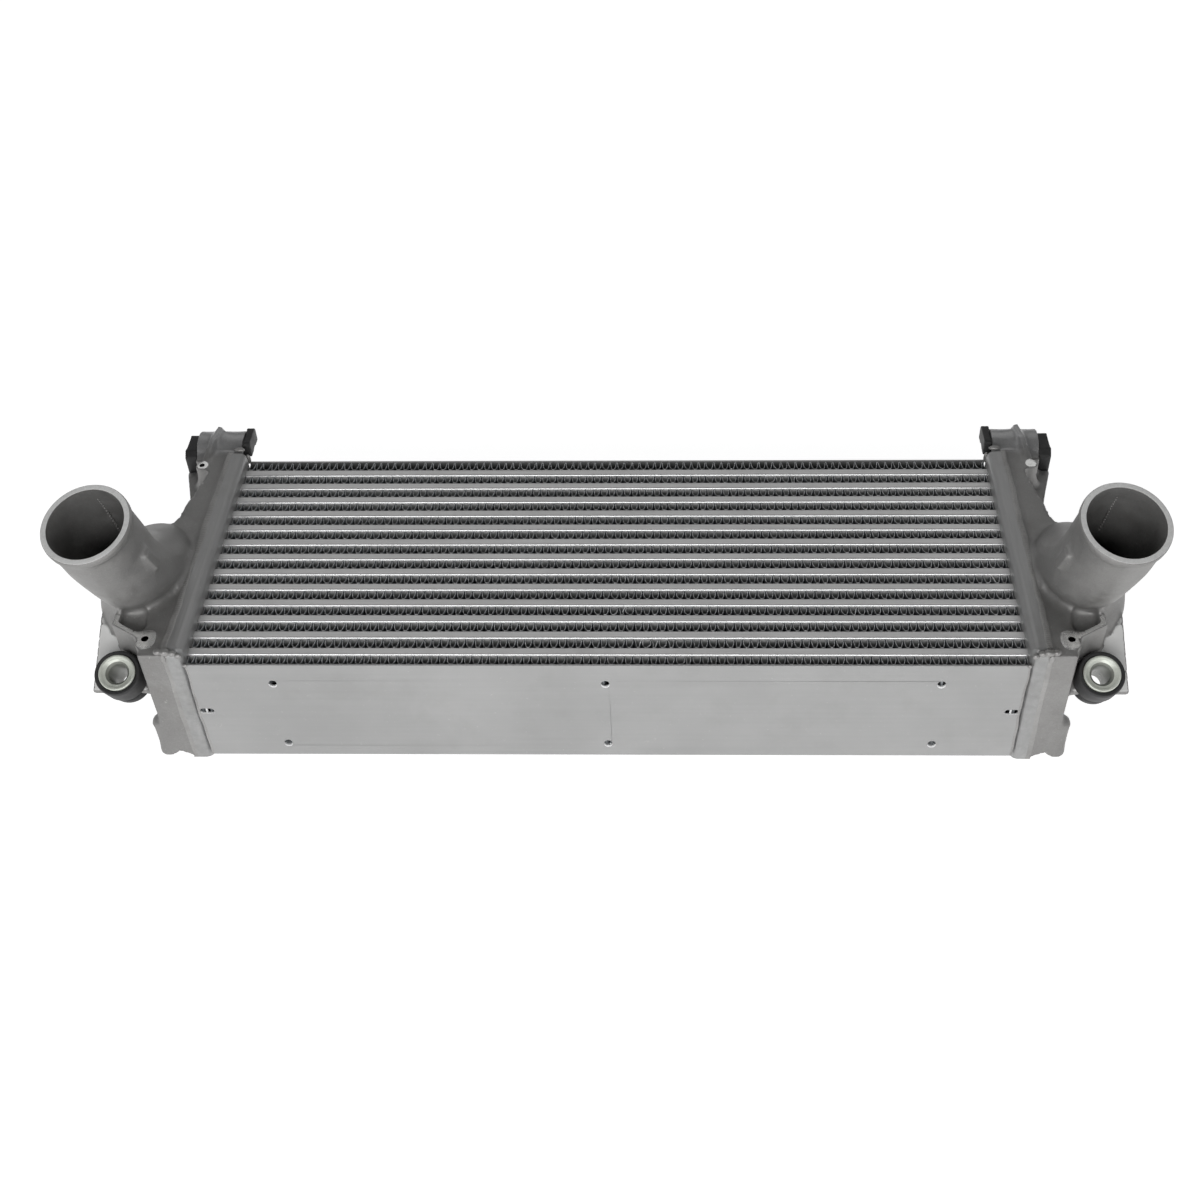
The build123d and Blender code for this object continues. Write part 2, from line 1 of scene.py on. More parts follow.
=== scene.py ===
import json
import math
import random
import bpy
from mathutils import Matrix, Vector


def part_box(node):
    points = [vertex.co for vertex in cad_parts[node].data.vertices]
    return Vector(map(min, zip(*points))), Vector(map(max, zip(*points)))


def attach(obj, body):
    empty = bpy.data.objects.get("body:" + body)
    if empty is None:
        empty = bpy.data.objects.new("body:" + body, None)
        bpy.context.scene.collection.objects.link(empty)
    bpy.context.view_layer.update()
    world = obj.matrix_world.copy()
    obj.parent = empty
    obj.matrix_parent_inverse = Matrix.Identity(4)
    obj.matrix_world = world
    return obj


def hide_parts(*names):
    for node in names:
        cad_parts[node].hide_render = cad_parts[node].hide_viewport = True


bl_info = {
    "name": "Charge air cooler",
    "version": (1, 0, 0),
    "blender": (4, 5, 0),
    "location": "3D View > Sidebar > Cooler",
    "description": "Dresses the packed aluminium charge air cooler and sets it on a pale floor",
    "category": "Object",
}

import bpy
import bmesh
import numpy as np
import openvdb
from bpy.props import FloatProperty, FloatVectorProperty, IntProperty, PointerProperty
from mathutils import Matrix, Vector

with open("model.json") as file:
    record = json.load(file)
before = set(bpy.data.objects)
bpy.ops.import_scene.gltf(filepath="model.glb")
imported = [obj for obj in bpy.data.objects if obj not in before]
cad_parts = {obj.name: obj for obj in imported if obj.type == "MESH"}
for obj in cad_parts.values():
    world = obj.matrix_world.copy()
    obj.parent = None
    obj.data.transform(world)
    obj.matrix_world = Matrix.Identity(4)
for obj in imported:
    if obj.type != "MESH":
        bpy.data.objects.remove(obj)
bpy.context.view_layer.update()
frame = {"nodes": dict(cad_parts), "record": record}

MM = 0.001
# Each side with its way out from the middle
SIDES = {"right": 1, "left": -1}
AXES = (Vector((1, 0, 0)), Vector((0, 1, 0)), Vector((0, 0, 1)))
MOUNTS = {mount["name"]: mount for mount in frame["record"]["mounts"]}

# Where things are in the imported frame
PLATE_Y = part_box("lower_side_plate")[0][1]
CORE_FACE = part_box("lower_side_plate")[1][2]
HEADER_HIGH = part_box("header_right")[1]


def spot(x, y, z):
    """A point from millimetres across, up from the bottom plate and over the floor."""
    return Vector((x * MM, PLATE_Y + y * MM, z * MM))


# Sizes and colours that a user would change


class CoolerSizes(bpy.types.PropertyGroup):
    fin_pitch: FloatProperty(name="Fin pitch", description="Distance between fin crests",
                             default=5.6 * MM, min=3 * MM, unit="LENGTH")
    fin_sheet: FloatProperty(name="Fin sheet", description="Thickness of the fin strip",
                             default=0.3 * MM, min=0.05 * MM, unit="LENGTH")
    fin_stray: FloatProperty(name="Fin stray", default=0.45 * MM, min=0, unit="LENGTH",
                             description="How far a crest strays from its even place")
    tube_round: FloatProperty(name="Tube edge", description="Radius of the tube's long edges",
                              default=1.6 * MM, min=0, unit="LENGTH")
    plate_round: FloatProperty(name="Plate edge", description="Break on the plates' edges",
                               default=0.25 * MM, min=0, unit="LENGTH")
    cast_fillet: FloatProperty(name="Casting fillet", description="Fillet in the casting's inner corners",
                               default=3.6 * MM, min=0, unit="LENGTH")
    cast_round: IntProperty(name="Casting edge", default=3, min=0,
                            description="Smoothing passes on the casting's outer edges")
    cast_grid: FloatProperty(name="Casting grid", description="Grid step that shapes the casting",
                             default=0.7 * MM, min=0.4 * MM, unit="LENGTH")
    weld_width: FloatProperty(name="Weld width", description="Width of the weld between header and tank",
                              default=4.6 * MM, min=0, unit="LENGTH")
    weld_height: FloatProperty(name="Weld height", description="Height of the weld bead",
                                default=0.8 * MM, min=0, unit="LENGTH")
    weld_ripple: FloatProperty(name="Weld ripple", description="Distance between the weld's ripples",
                               default=1.9 * MM, min=0.5 * MM, unit="LENGTH")
    steps_round: IntProperty(name="Round steps", description="Steps around a turned piece",
                             default=96, min=24)


class CoolerColours(bpy.types.PropertyGroup):
    cast: FloatVectorProperty(name="Cast aluminium", description="Blasted casting", subtype="COLOR",
                              size=3, min=0, max=1, default=(0.315, 0.31, 0.304))
    machined: FloatVectorProperty(name="Machined aluminium", description="Cut faces", subtype="COLOR",
                                  size=3, min=0, max=1, default=(0.92, 0.92, 0.905))
    plate: FloatVectorProperty(name="Plate aluminium", description="Side plates and headers",
                               subtype="COLOR", size=3, min=0, max=1, default=(0.40, 0.40, 0.398))
    tube: FloatVectorProperty(name="Tube aluminium", description="Flat tubes", subtype="COLOR",
                              size=3, min=0, max=1, default=(0.74, 0.735, 0.73))
    # The fins' colour is darker and bluer than bare aluminium: painted shade in the fins' deep channels.
    fin: FloatVectorProperty(name="Fin aluminium", description="Folded fins", subtype="COLOR",
                             size=3, min=0, max=1, default=(0.33, 0.35, 0.365))
    rubber: FloatVectorProperty(name="Rubber", description="Bushes and isolators", subtype="COLOR",
                                size=3, min=0, max=1, default=(0.03, 0.03, 0.031))
    zinc: FloatVectorProperty(name="Zinc plating", description="Bush sleeves", subtype="COLOR",
                              size=3, min=0, max=1, default=(0.80, 0.83, 0.75))
    floor: FloatVectorProperty(name="Floor", description="Floor of the studio", subtype="COLOR",
                               size=3, min=0, max=1, default=(0.86, 0.86, 0.86))


class CoolerStage(bpy.types.PropertyGroup):
    lens: FloatProperty(name="Lens", description="Focal length of the camera in millimetres",
                        default=46.14, min=10)
    key: FloatProperty(name="Key light", description="Power of the soft light on the viewer's side",
                       default=15.0, min=0, unit="POWER")
    fill: FloatProperty(name="Top light", description="Power of the soft light overhead",
                        default=5.6, min=0, unit="POWER")
    sky: FloatProperty(name="Sky", description="Strength of the surrounding light from straight above",
                       default=0.1, min=0)
    floor_glow: FloatProperty(name="Floor glow", description="What the floor adds to look white",
                              default=0.8, min=0)


# Node groups that several finishes share


def new_group(name, inputs, outputs):
    """An empty shader group with named sockets; returns its tree and end nodes."""
    tree = bpy.data.node_groups.new(name, "ShaderNodeTree")
    for label, kind, value in inputs:
        socket = tree.interface.new_socket(name=label, in_out="INPUT", socket_type=kind)
        socket.default_value = value
    for label, kind in outputs:
        tree.interface.new_socket(name=label, in_out="OUTPUT", socket_type=kind)
    return tree, tree.nodes.new("NodeGroupInput"), tree.nodes.new("NodeGroupOutput")


def feed(tree, socket, value):
    """Links another socket's value to a socket, or sets a plain value."""
    if isinstance(value, bpy.types.NodeSocket):
        tree.links.new(value, socket)
    elif socket.type == "RGBA":
        socket.default_value = (*value[:3], 1.0)
    else:
        socket.default_value = value


def add_noise(tree, vector, scale, detail=4.0, rough=0.55):
    """A noise texture on the given coordinates."""
    node = tree.nodes.new("ShaderNodeTexNoise")
    node.inputs["Detail"].default_value = detail
    node.inputs["Roughness"].default_value = rough
    tree.links.new(vector, node.inputs["Vector"])
    feed(tree, node.inputs["Scale"], scale)
    return node.outputs["Fac"]


def remap(tree, value, low, high, to_low, to_high):
    """A clamped change of range."""
    node = tree.nodes.new("ShaderNodeMapRange")
    labels = ("Value", "From Min", "From Max", "To Min", "To Max")
    for label, amount in zip(labels, (value, low, high, to_low, to_high)):
        feed(tree, node.inputs[label], amount)
    return node.outputs["Result"]


def arith(tree, kind, a, b=0.0):
    """One step of arithmetic on one or two values."""
    node = tree.nodes.new("ShaderNodeMath")
    node.operation = kind
    feed(tree, node.inputs[0], a)
    feed(tree, node.inputs[1], b)
    return node.outputs["Value"]


def vector_arith(tree, kind, a, b=(0, 0, 0), output="Vector"):
    """One step of arithmetic on one or two vectors."""
    node = tree.nodes.new("ShaderNodeVectorMath")
    node.operation = kind
    feed(tree, node.inputs[0], a)
    feed(tree, node.inputs[1], b)
    return node.outputs[output]


def scaled(tree, colour, gain):
    """A colour made lighter or darker by a gain."""
    node = tree.nodes.new("ShaderNodeVectorMath")
    node.operation = "SCALE"
    tree.links.new(colour, node.inputs[0])
    tree.links.new(gain, node.inputs["Scale"])
    return node.outputs["Vector"]


def swing(tree, value, low, high, amount):
    """A gain that goes round one by an amount, as a value goes from low to high."""
    to_low, to_high = (arith(tree, kind, 1.0, amount) for kind in ("SUBTRACT", "ADD"))
    return remap(tree, value, low, high, to_low, to_high)


def split_vector(tree, vector):
    """The three parts of a vector, by the names X, Y and Z."""
    node = tree.nodes.new("ShaderNodeSeparateXYZ")
    tree.links.new(vector, node.inputs["Vector"])
    return node.outputs


def blend_colour(tree, factor, a, b, kind="MIX"):
    """A mix of two colours by a mask."""
    node = tree.nodes.new("ShaderNodeMix")
    node.data_type = "RGBA"
    node.blend_type = kind
    for place, value in ((0, factor), (6, a), (7, b)):
        feed(tree, node.inputs[place], value)
    return node.outputs[2]


def local_place(tree):
    """The place of a surface point in the object's own space."""
    return tree.nodes.new("ShaderNodeTexCoord").outputs["Object"]


def local_normal(tree):
    """The way that a surface point faces, in the object's own space."""
    return tree.nodes.new("ShaderNodeTexCoord").outputs["Normal"]


def cast_skin_group():
    """Mottled tone, roughness and pebbled height of a sand-blasted casting."""
    tree, start, end = new_group(
        "cast skin",
        [("Colour", "NodeSocketColor", (0.4, 0.4, 0.4, 1)), ("Grain Scale", "NodeSocketFloat", 900.0),
         ("Mottle", "NodeSocketFloat", 0.16), ("Roughness", "NodeSocketFloat", 0.55)],
        [("Colour", "NodeSocketColor"), ("Roughness", "NodeSocketFloat"), ("Height", "NodeSocketFloat")],
    )
    place = local_place(tree)
    broad = add_noise(tree, place, 22.0, 5.0, 0.6)
    patch = add_noise(tree, place, 95.0, 4.0, 0.6)
    grain = add_noise(tree, place, start.outputs["Grain Scale"], 3.0, 0.6)
    tone = arith(tree, "ADD", arith(tree, "MULTIPLY", broad, 0.6), arith(tree, "MULTIPLY", patch, 0.4))
    gain = swing(tree, tone, 0.34, 0.66, start.outputs["Mottle"])
    gain = arith(tree, "MULTIPLY", gain, remap(tree, grain, 0.3, 0.72, 0.93, 1.07))
    tree.links.new(scaled(tree, start.outputs["Colour"], gain), end.inputs["Colour"])
    rough = arith(tree, "ADD", start.outputs["Roughness"], remap(tree, patch, 0.3, 0.7, -0.08, 0.08))
    tree.links.new(rough, end.inputs["Roughness"])
    height = arith(tree, "ADD", arith(tree, "MULTIPLY", grain, 0.6), arith(tree, "MULTIPLY", patch, 0.4))
    tree.links.new(height, end.inputs["Height"])
    return tree


def drawn_streaks_group():
    """Long fine streaks along one axis, as rolled and brushed metal shows."""
    tree, start, end = new_group(
        "drawn streaks",
        [("Colour", "NodeSocketColor", (0.5, 0.5, 0.5, 1)), ("Stretch", "NodeSocketVector", (8, 600, 600)),
         ("Contrast", "NodeSocketFloat", 0.1), ("Roughness", "NodeSocketFloat", 0.4)],
        [("Colour", "NodeSocketColor"), ("Roughness", "NodeSocketFloat"), ("Height", "NodeSocketFloat")],
    )
    place = local_place(tree)
    streak = add_noise(tree, vector_arith(tree, "MULTIPLY", place, start.outputs["Stretch"]), 1.0, 5.0, 0.6)
    cloud = add_noise(tree, place, 14.0, 4.0, 0.55)
    gain = swing(tree, streak, 0.3, 0.7, start.outputs["Contrast"])
    gain = arith(tree, "MULTIPLY", gain, remap(tree, cloud, 0.3, 0.7, 0.94, 1.06))
    tree.links.new(scaled(tree, start.outputs["Colour"], gain), end.inputs["Colour"])
    rough = arith(tree, "ADD", start.outputs["Roughness"], remap(tree, streak, 0.3, 0.7, -0.07, 0.07))
    tree.links.new(rough, end.inputs["Roughness"])
    tree.links.new(streak, end.inputs["Height"])
    return tree


def soiling_group():
    """Dull stains and small bright scuffs laid over another colour."""
    tree, start, end = new_group(
        "soiling",
        [("Colour", "NodeSocketColor", (0.5, 0.5, 0.5, 1)),
         ("Stain", "NodeSocketColor", (0.2, 0.19, 0.17, 1)), ("Stain Amount", "NodeSocketFloat", 0.3),
         ("Scuff", "NodeSocketColor", (0.8, 0.8, 0.8, 1)), ("Scuff Amount", "NodeSocketFloat", 0.3)],
        [("Colour", "NodeSocketColor"), ("Mask", "NodeSocketFloat")],
    )
    place = local_place(tree)
    cloud = add_noise(tree, place, 38.0, 6.0, 0.65)
    fleck = add_noise(tree, place, 420.0, 3.0, 0.7)
    stain = arith(tree, "MULTIPLY", remap(tree, cloud, 0.52, 0.72, 0.0, 1.0), start.outputs["Stain Amount"])
    scuff = arith(tree, "MULTIPLY", remap(tree, fleck, 0.66, 0.74, 0.0, 1.0), start.outputs["Scuff Amount"])
    colour = blend_colour(tree, stain, start.outputs["Colour"], start.outputs["Stain"])
    colour = blend_colour(tree, scuff, colour, start.outputs["Scuff"])
    tree.links.new(colour, end.inputs["Colour"])
    tree.links.new(arith(tree, "MAXIMUM", stain, scuff), end.inputs["Mask"])
    return tree


GROUPS = {}


def shared_group(name):
    """One of the shared groups, built the first time that it is asked for."""
    makers = {"cast skin": cast_skin_group, "drawn streaks": drawn_streaks_group, "soiling": soiling_group}
    if name not in GROUPS:
        GROUPS[name] = makers[name]()
    return GROUPS[name]


def place_group(tree, name, **values):
    """Puts a shared group in a material, with values given by socket name."""
    node = tree.nodes.new("ShaderNodeGroup")
    node.node_tree = shared_group(name)
    for label, value in values.items():
        feed(tree, node.inputs[label.replace("_", " ")], value)
    return node


def start_material(name, metallic):
    """A material with its shader and output; returns the material, tree and shader."""
    material = bpy.data.materials.new(name)
    material.use_nodes = True
    tree = material.node_tree
    tree.nodes.clear()
    shader = tree.nodes.new("ShaderNodeBsdfPrincipled")
    output = tree.nodes.new("ShaderNodeOutputMaterial")
    tree.links.new(shader.outputs["BSDF"], output.inputs["Surface"])
    shader.inputs["Metallic"].default_value = metallic
    return material, tree, shader


def add_bump(tree, shader, height, strength, distance):
    """Feeds a height into the shader's normal."""
    bump = tree.nodes.new("ShaderNodeBump")
    bump.inputs["Strength"].default_value = strength
    bump.inputs["Distance"].default_value = distance
    tree.links.new(height, bump.inputs["Height"])
    tree.links.new(bump.outputs["Normal"], shader.inputs["Normal"])


def soiled(tree, shader, skin, stain, scuff, strength, depth):
    """Feeds the shader from a skin group, with stains and scuffs as (colour, amount) on it."""
    marks = place_group(tree, "soiling", Colour=skin.outputs["Colour"], Stain=stain[0],
                        Stain_Amount=stain[1], Scuff=scuff[0], Scuff_Amount=scuff[1])
    tree.links.new(marks.outputs["Colour"], shader.inputs["Base Color"])
    tree.links.new(skin.outputs["Roughness"], shader.inputs["Roughness"])
    add_bump(tree, shader, skin.outputs["Height"], strength, depth)


def fed_by(shader, label):
    """The socket that feeds one of the shader's inputs."""
    return shader.inputs[label].links[0].from_socket


# How far a surface point may lie off the level of a cut face
FACE_TOLERANCE = 0.8 * MM
# Levels of the cut faces over the floor, and what bounds them: across, and up from the bottom plate
LUG_LEVEL, LUG_BOUNDS = 108.5, ((298.0, 1000.0), (0.0, 45.0))
BOSS_LEVEL, BOSS_BOUNDS, BOSS_RADIUS = 106.5, ((306.5, 317.5), (196.5, 207.5)), 4.6
BRACKET_BOUNDS = ((300.0, 1000.0), (-1000.0, 60.0))
# The middle of the right sleeve's flange, and the bracket's depth under it along the bush
FLANGE_MIDDLE, BRACKET_DEPTH = (330.0, 4.6, 86.3), 18.5
# Where the saddle's far side, glossier and lighter as a painted highlight, begins and where it is all
# there, up from the bottom plate
SADDLE_GLOSS_AND_HIGHLIGHT = (213.0, 221.0)


def flat_mask(tree, axis, level, bounds):
    """A mask of one flat face: its way, its level along that way, and the space that it lies in."""
    place = local_place(tree)

    def along(vector):
        return vector_arith(tree, "DOT_PRODUCT", vector, axis, "Value")

    gap = arith(tree, "ABSOLUTE", arith(tree, "SUBTRACT", along(place), level))
    mask = arith(tree, "LESS_THAN", gap, FACE_TOLERANCE)
    mask = arith(tree, "MULTIPLY", mask, remap(tree, along(local_normal(tree)), 0.9, 0.97, 0.0, 1.0))
    parts = split_vector(tree, place)
    across = arith(tree, "ABSOLUTE", parts["X"])
    for value, (low, high), start in zip((across, parts["Y"]), bounds, (0.0, PLATE_Y)):
        mask = arith(tree, "MULTIPLY", mask, arith(tree, "GREATER_THAN", value, start + low * MM))
        mask = arith(tree, "MULTIPLY", mask, arith(tree, "LESS_THAN", value, start + high * MM))
    return mask


def cut_faces(tree):
    """Masks of the casting's cut faces: the level ones on lug and screw boss, and the bush bracket's."""
    lug = flat_mask(tree, AXES[2], LUG_LEVEL * MM, LUG_BOUNDS)
    boss = flat_mask(tree, AXES[2], BOSS_LEVEL * MM, BOSS_BOUNDS)
    thread = MOUNTS["screw_boss_thread_right"]["pos_m"]
    middle = (abs(thread[0]), abs(thread[1]), BOSS_LEVEL * MM)
    folded = vector_arith(tree, "ABSOLUTE", local_place(tree))
    away = vector_arith(tree, "DISTANCE", folded, middle, "Value")
    boss = arith(tree, "MULTIPLY", boss, arith(tree, "LESS_THAN", away, BOSS_RADIUS * MM))
    way = Vector(MOUNTS["bush_sleeve_right"]["axis"]).normalized()
    if way.z < 0:
        way = -way
    level = spot(*FLANGE_MIDDLE).dot(way) - BRACKET_DEPTH * MM
    return arith(tree, "MAXIMUM", lug, boss), flat_mask(tree, way, level, BRACKET_BOUNDS)


def cast_finish(name, colour, roughness, mottle=0.14, strength=0.35, cut=None):
    """Cast aluminium, blasted and handled; with a cut colour, also its cut faces, and its far side glossier
    and lighter as a painted highlight.
    """
    material, tree, shader = start_material(name, 0.5)
    skin = place_group(tree, "cast skin", Colour=colour, Roughness=roughness, Mottle=mottle)
    soiled(tree, shader, skin, ((0.19, 0.18, 0.165), 0.28), ((0.72, 0.71, 0.69), 0.35), strength, 0.25 * MM)
    if cut:
        level, slanted = cut_faces(tree)
        start, end = (PLATE_Y + up * MM for up in SADDLE_GLOSS_AND_HIGHLIGHT)
        far = remap(tree, split_vector(tree, local_place(tree))["Y"], start, end, 0.0, 1.0)
        # The far side's lighter colour is a painted highlight.
        shown = blend_colour(tree, far, fed_by(shader, "Base Color"), (1.35, 1.37, 1.4), "MULTIPLY")
        shown = blend_colour(tree, arith(tree, "MAXIMUM", level, slanted), shown, cut)
        gloss = arith(tree, "ADD", arith(tree, "MULTIPLY", level, 0.24), arith(tree, "MULTIPLY", far, 0.13))
        metallic = arith(tree, "ADD", 0.5, arith(tree, "MULTIPLY", level, 0.3))
        metallic = arith(tree, "SUBTRACT", metallic, arith(tree, "MULTIPLY", slanted, 0.5))
        tree.links.new(metallic, shader.inputs["Metallic"])
        tree.links.new(shown, shader.inputs["Base Color"])
        rough = arith(tree, "SUBTRACT", skin.outputs["Roughness"], gloss)
        tree.links.new(rough, shader.inputs["Roughness"])
    return material


def rolled_finish(name, colour, stretch, rough, contrast, metallic=0.8, stain=0.12):
    """Rolled or drawn aluminium with streaks along its run; returns the material, tree and shader."""
    material, tree, shader = start_material(name, metallic)
    streaks = place_group(tree, "drawn streaks", Colour=colour, Stretch=stretch, Roughness=rough,
                          Contrast=contrast)
    soiled(tree, shader, streaks, ((0.24, 0.235, 0.22), stain), ((0.8, 0.8, 0.78), 0.2), 0.12, 0.08 * MM)
    return material, tree, shader


def tube_finish(name, colour):
    """Drawn tube; the shoulder that faces the bottom plate is glossier and lighter, the lighter colour a
    painted highlight.
    """
    material, tree, shader = rolled_finish(name, colour, (10, 500, 500), 0.38, 0.1, metallic=0.3)
    facing = vector_arith(tree, "DOT_PRODUCT", local_normal(tree), (0, -0.72, 0.69), "Value")
    shoulder = remap(tree, facing, 0.88, 0.96, 0.0, 1.0)
    # The shoulder's lighter colour is a painted highlight.
    shown = blend_colour(tree, shoulder, fed_by(shader, "Base Color"), (0.8, 0.8, 0.8))
    tree.links.new(shown, shader.inputs["Base Color"])
    gloss = arith(tree, "MULTIPLY", shoulder, 0.14)
    rough = arith(tree, "SUBTRACT", fed_by(shader, "Roughness"), gloss)
    tree.links.new(rough, shader.inputs["Roughness"])
    tree.links.new(remap(tree, shoulder, 0.0, 1.0, 0.3, 0.6), shader.inputs["Metallic"])
    return material


def plate_finish(name, colour):
    """Rolled plate; the walls of its holes that face up, below the core's face, are near white as a painted
    highlight.
    """
    material, tree, shader = rolled_finish(name, colour, (6, 300, 300), 0.42, 0.045)
    upward = split_vector(tree, local_normal(tree))["Z"]
    height = split_vector(tree, local_place(tree))["Z"]
    below = arith(tree, "LESS_THAN", height, CORE_FACE - 3 * MM)
    wall = arith(tree, "MULTIPLY", remap(tree, upward, 0.2, 0.5, 0.0, 1.0), below)
    # Up-facing hole walls made near white: painted highlight.
    shown = blend_colour(tree, wall, fed_by(shader, "Base Color"), (0.97, 0.97, 0.97))
    tree.links.new(shown, shader.inputs["Base Color"])
    tree.links.new(remap(tree, wall, 0.0, 1.0, 0.8, 0.0), shader.inputs["Metallic"])
    return material


def fin_finish(name, colour):
    """Fin strip, patchy from brazing, in the given colour, which for the fins is darker and bluer than bare
    aluminium as painted shade.
    """
    material, tree, shader = start_material(name, 0.55)
    patch = add_noise(tree, local_place(tree), 160.0, 3.0, 0.6)
    dull, light = ([part * gain for part in colour] for gain in (0.8, 1.25))
    tone = blend_colour(tree, remap(tree, patch, 0.3, 0.7, 0.0, 1.0), dull, light)
    tree.links.new(tone, shader.inputs["Base Color"])
    tree.links.new(remap(tree, patch, 0.3, 0.7, 0.36, 0.5), shader.inputs["Roughness"])
    return material


def crest_finish(name):
    """Bright edges of the fin strip where they are bent or brazed to a tube: bare metal and braze, made
    lighter than the fins as a painted highlight.
    """
    material, tree, shader = start_material(name, 0.05)
    patch = add_noise(tree, local_place(tree), 240.0, 3.0, 0.6)
    bright = remap(tree, patch, 0.4, 0.62, 0.0, 1.0)
    colour = blend_colour(tree, bright, (0.6, 0.6, 0.6), (0.95, 0.95, 0.95))
    tree.links.new(colour, shader.inputs["Base Color"])
    tree.links.new(remap(tree, patch, 0.3, 0.7, 0.3, 0.45), shader.inputs["Roughness"])
    return material


def rubber_finish(name, colour):
    """Moulded rubber with a fine matt skin and a little dust."""
    material, tree, shader = start_material(name, 0.0)
    skin = place_group(tree, "cast skin", Colour=colour, Roughness=0.56, Mottle=0.2, Grain_Scale=1500.0)
    soiled(tree, shader, skin, ((0.09, 0.088, 0.082), 0.4), ((0.14, 0.14, 0.135), 0.35), 0.2, 0.12 * MM)
    return material


def zinc_finish(name, colour):
    """Zinc plated steel, turned, with a faint greenish cast."""
    material, tree, shader = start_material(name, 0.25)
    skin = place_group(tree, "cast skin", Colour=colour, Roughness=0.34, Mottle=0.08, Grain_Scale=1400.0)
    soiled(tree, shader, skin, ((0.34, 0.33, 0.28), 0.3), ((0.85, 0.86, 0.8), 0.25), 0.1, 0.05 * MM)
    return material


# Mesh helpers


def new_object(name, data):
    """An object in the scene that shows the given data."""
    made = bpy.data.objects.new(name, data)
    bpy.context.scene.collection.objects.link(made)
    return made


def lattice(rows, columns, wrap_rows=False, wrap_columns=False, first=0):
    """Faces between points that lie in rows, counted from the first one."""
    faces = []
    for row in range(rows if wrap_rows else rows - 1):
        here, there = first + row * columns, first + (row + 1) % rows * columns
        for i in range(columns if wrap_columns else columns - 1):
            j = (i + 1) % columns
            faces.append((here + i, here + j, there + j, there + i))
    return faces


def mesh_object(name, points, faces, material, smooth=True):
    """A new object from points and faces."""
    mesh = bpy.data.meshes.new(name)
    mesh.from_pydata([tuple(p) for p in points], [], [tuple(f) for f in faces])
    mesh.validate()
    mesh.update()
    mesh.polygons.foreach_set("use_smooth", [smooth] * len(mesh.polygons))
    mesh.materials.append(material)
    return new_object(name, mesh)


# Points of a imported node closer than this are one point, and sharper edges than this are broken
SAME_POINT = 0.01 * MM
SHARP_EDGE = math.radians(40)


def dress_node(name, material, edge=0.0, steps=2):
    """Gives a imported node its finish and, with an edge size, a break on its sharp edges."""
    node = frame["nodes"][name]
    node.data.materials.clear()
    node.data.materials.append(material)
    if edge > 0:
        join = node.modifiers.new("joined points", "WELD")
        join.merge_threshold = SAME_POINT
        bevel = node.modifiers.new("edge break", "BEVEL")
        bevel.width = edge
        bevel.segments = steps
        bevel.limit_method = "ANGLE"
        bevel.angle_limit = SHARP_EDGE
        bevel.harden_normals = True


def node_triangles(name):
    """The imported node's points and triangles as arrays."""
    mesh = frame["nodes"][name].data
    mesh.calc_loop_triangles()
    points = np.empty(len(mesh.vertices) * 3, dtype=np.float32)
    mesh.vertices.foreach_get("co", points)
    corners = np.empty(len(mesh.loop_triangles) * 3, dtype=np.int32)
    mesh.loop_triangles.foreach_get("vertices", corners)
    return points.reshape(-1, 3), corners.reshape(-1, 3).astype(np.uint32)


def level_set(points, triangles, quads, grid, band):
    """A signed distance grid around a closed surface."""
    return openvdb.FloatGrid.createLevelSetFromPolygons(
        points.astype(np.float32), triangles=triangles, quads=quads,
        transform=openvdb.createLinearTransform(voxelSize=grid), halfWidth=band)


NO_QUADS = np.zeros((0, 4), dtype=np.uint32)


def filled_corners(field, grid, fillet, adaptivity):
    """The surface of a distance grid with its inner corners filled, as polygons."""
    points, triangles, quads = field.convertToPolygons(isovalue=fillet, adaptivity=0)
    field = level_set(points, triangles, quads, grid, fillet / grid + 3)
    return field.convertToPolygons(isovalue=-fillet, adaptivity=adaptivity)


class SolidGrid:
    """Dense distance values over a box of space, for joining and cutting solids."""

    def __init__(self, low, high, grid, band):
        self.grid, self.band = grid, band
        self.low = np.floor(np.array(low) / grid).astype(int)
        self.size = np.ceil(np.array(high) / grid).astype(int) - self.low + 1

    def solid(self, points, triangles, quads=NO_QUADS):
        """The distances of a closed surface."""
        field = level_set(points, triangles, quads, self.grid, self.band)
        values = np.full(self.size, self.band * self.grid, dtype=np.float32)
        field.copyToArray(values, ijk=tuple(int(i) for i in self.low))
        return values

    def places(self):
        """The coordinates of the grid's nodes, ready to broadcast."""
        x, y, z = ((np.arange(n) + start) * self.grid for n, start in zip(self.size, self.low))
        return x[:, None, None], y[None, :, None], z[None, None, :]

    def field(self, values):
        """A level set with the given distances."""
        limit = self.band * self.grid
        values = np.clip(values, -limit, limit).astype(np.float32)
        out = openvdb.FloatGrid(limit)
        out.transform = openvdb.createLinearTransform(voxelSize=self.grid)
        out.gridClass = openvdb.GridClass.LEVEL_SET
        out.copyFromArray(values, ijk=tuple(int(i) for i in self.low))
        return out


def even_shading(piece):
    """Lets a piece's larger faces rule its shading."""
    even = piece.modifiers.new("even shading", "WEIGHTED_NORMAL")
    even.weight = 60


def soften_edges(piece, passes):
    """Rounds a moulded piece's outer edges and evens its shading."""
    smooth = piece.modifiers.new("edge round", "SMOOTH")
    smooth.factor = 0.5
    smooth.iterations = passes
    even_shading(piece)


def surface_object(name, surface, material, way):
    """An object from the level set polygons of the right side; the way is -1 for the left side."""
    points, triangles, quads = surface
    faces = [face[::-way] for face in triangles.tolist() + quads.tolist()]
    return mesh_object(name, points.astype(float) * np.array([way, 1.0, 1.0]), faces, material)


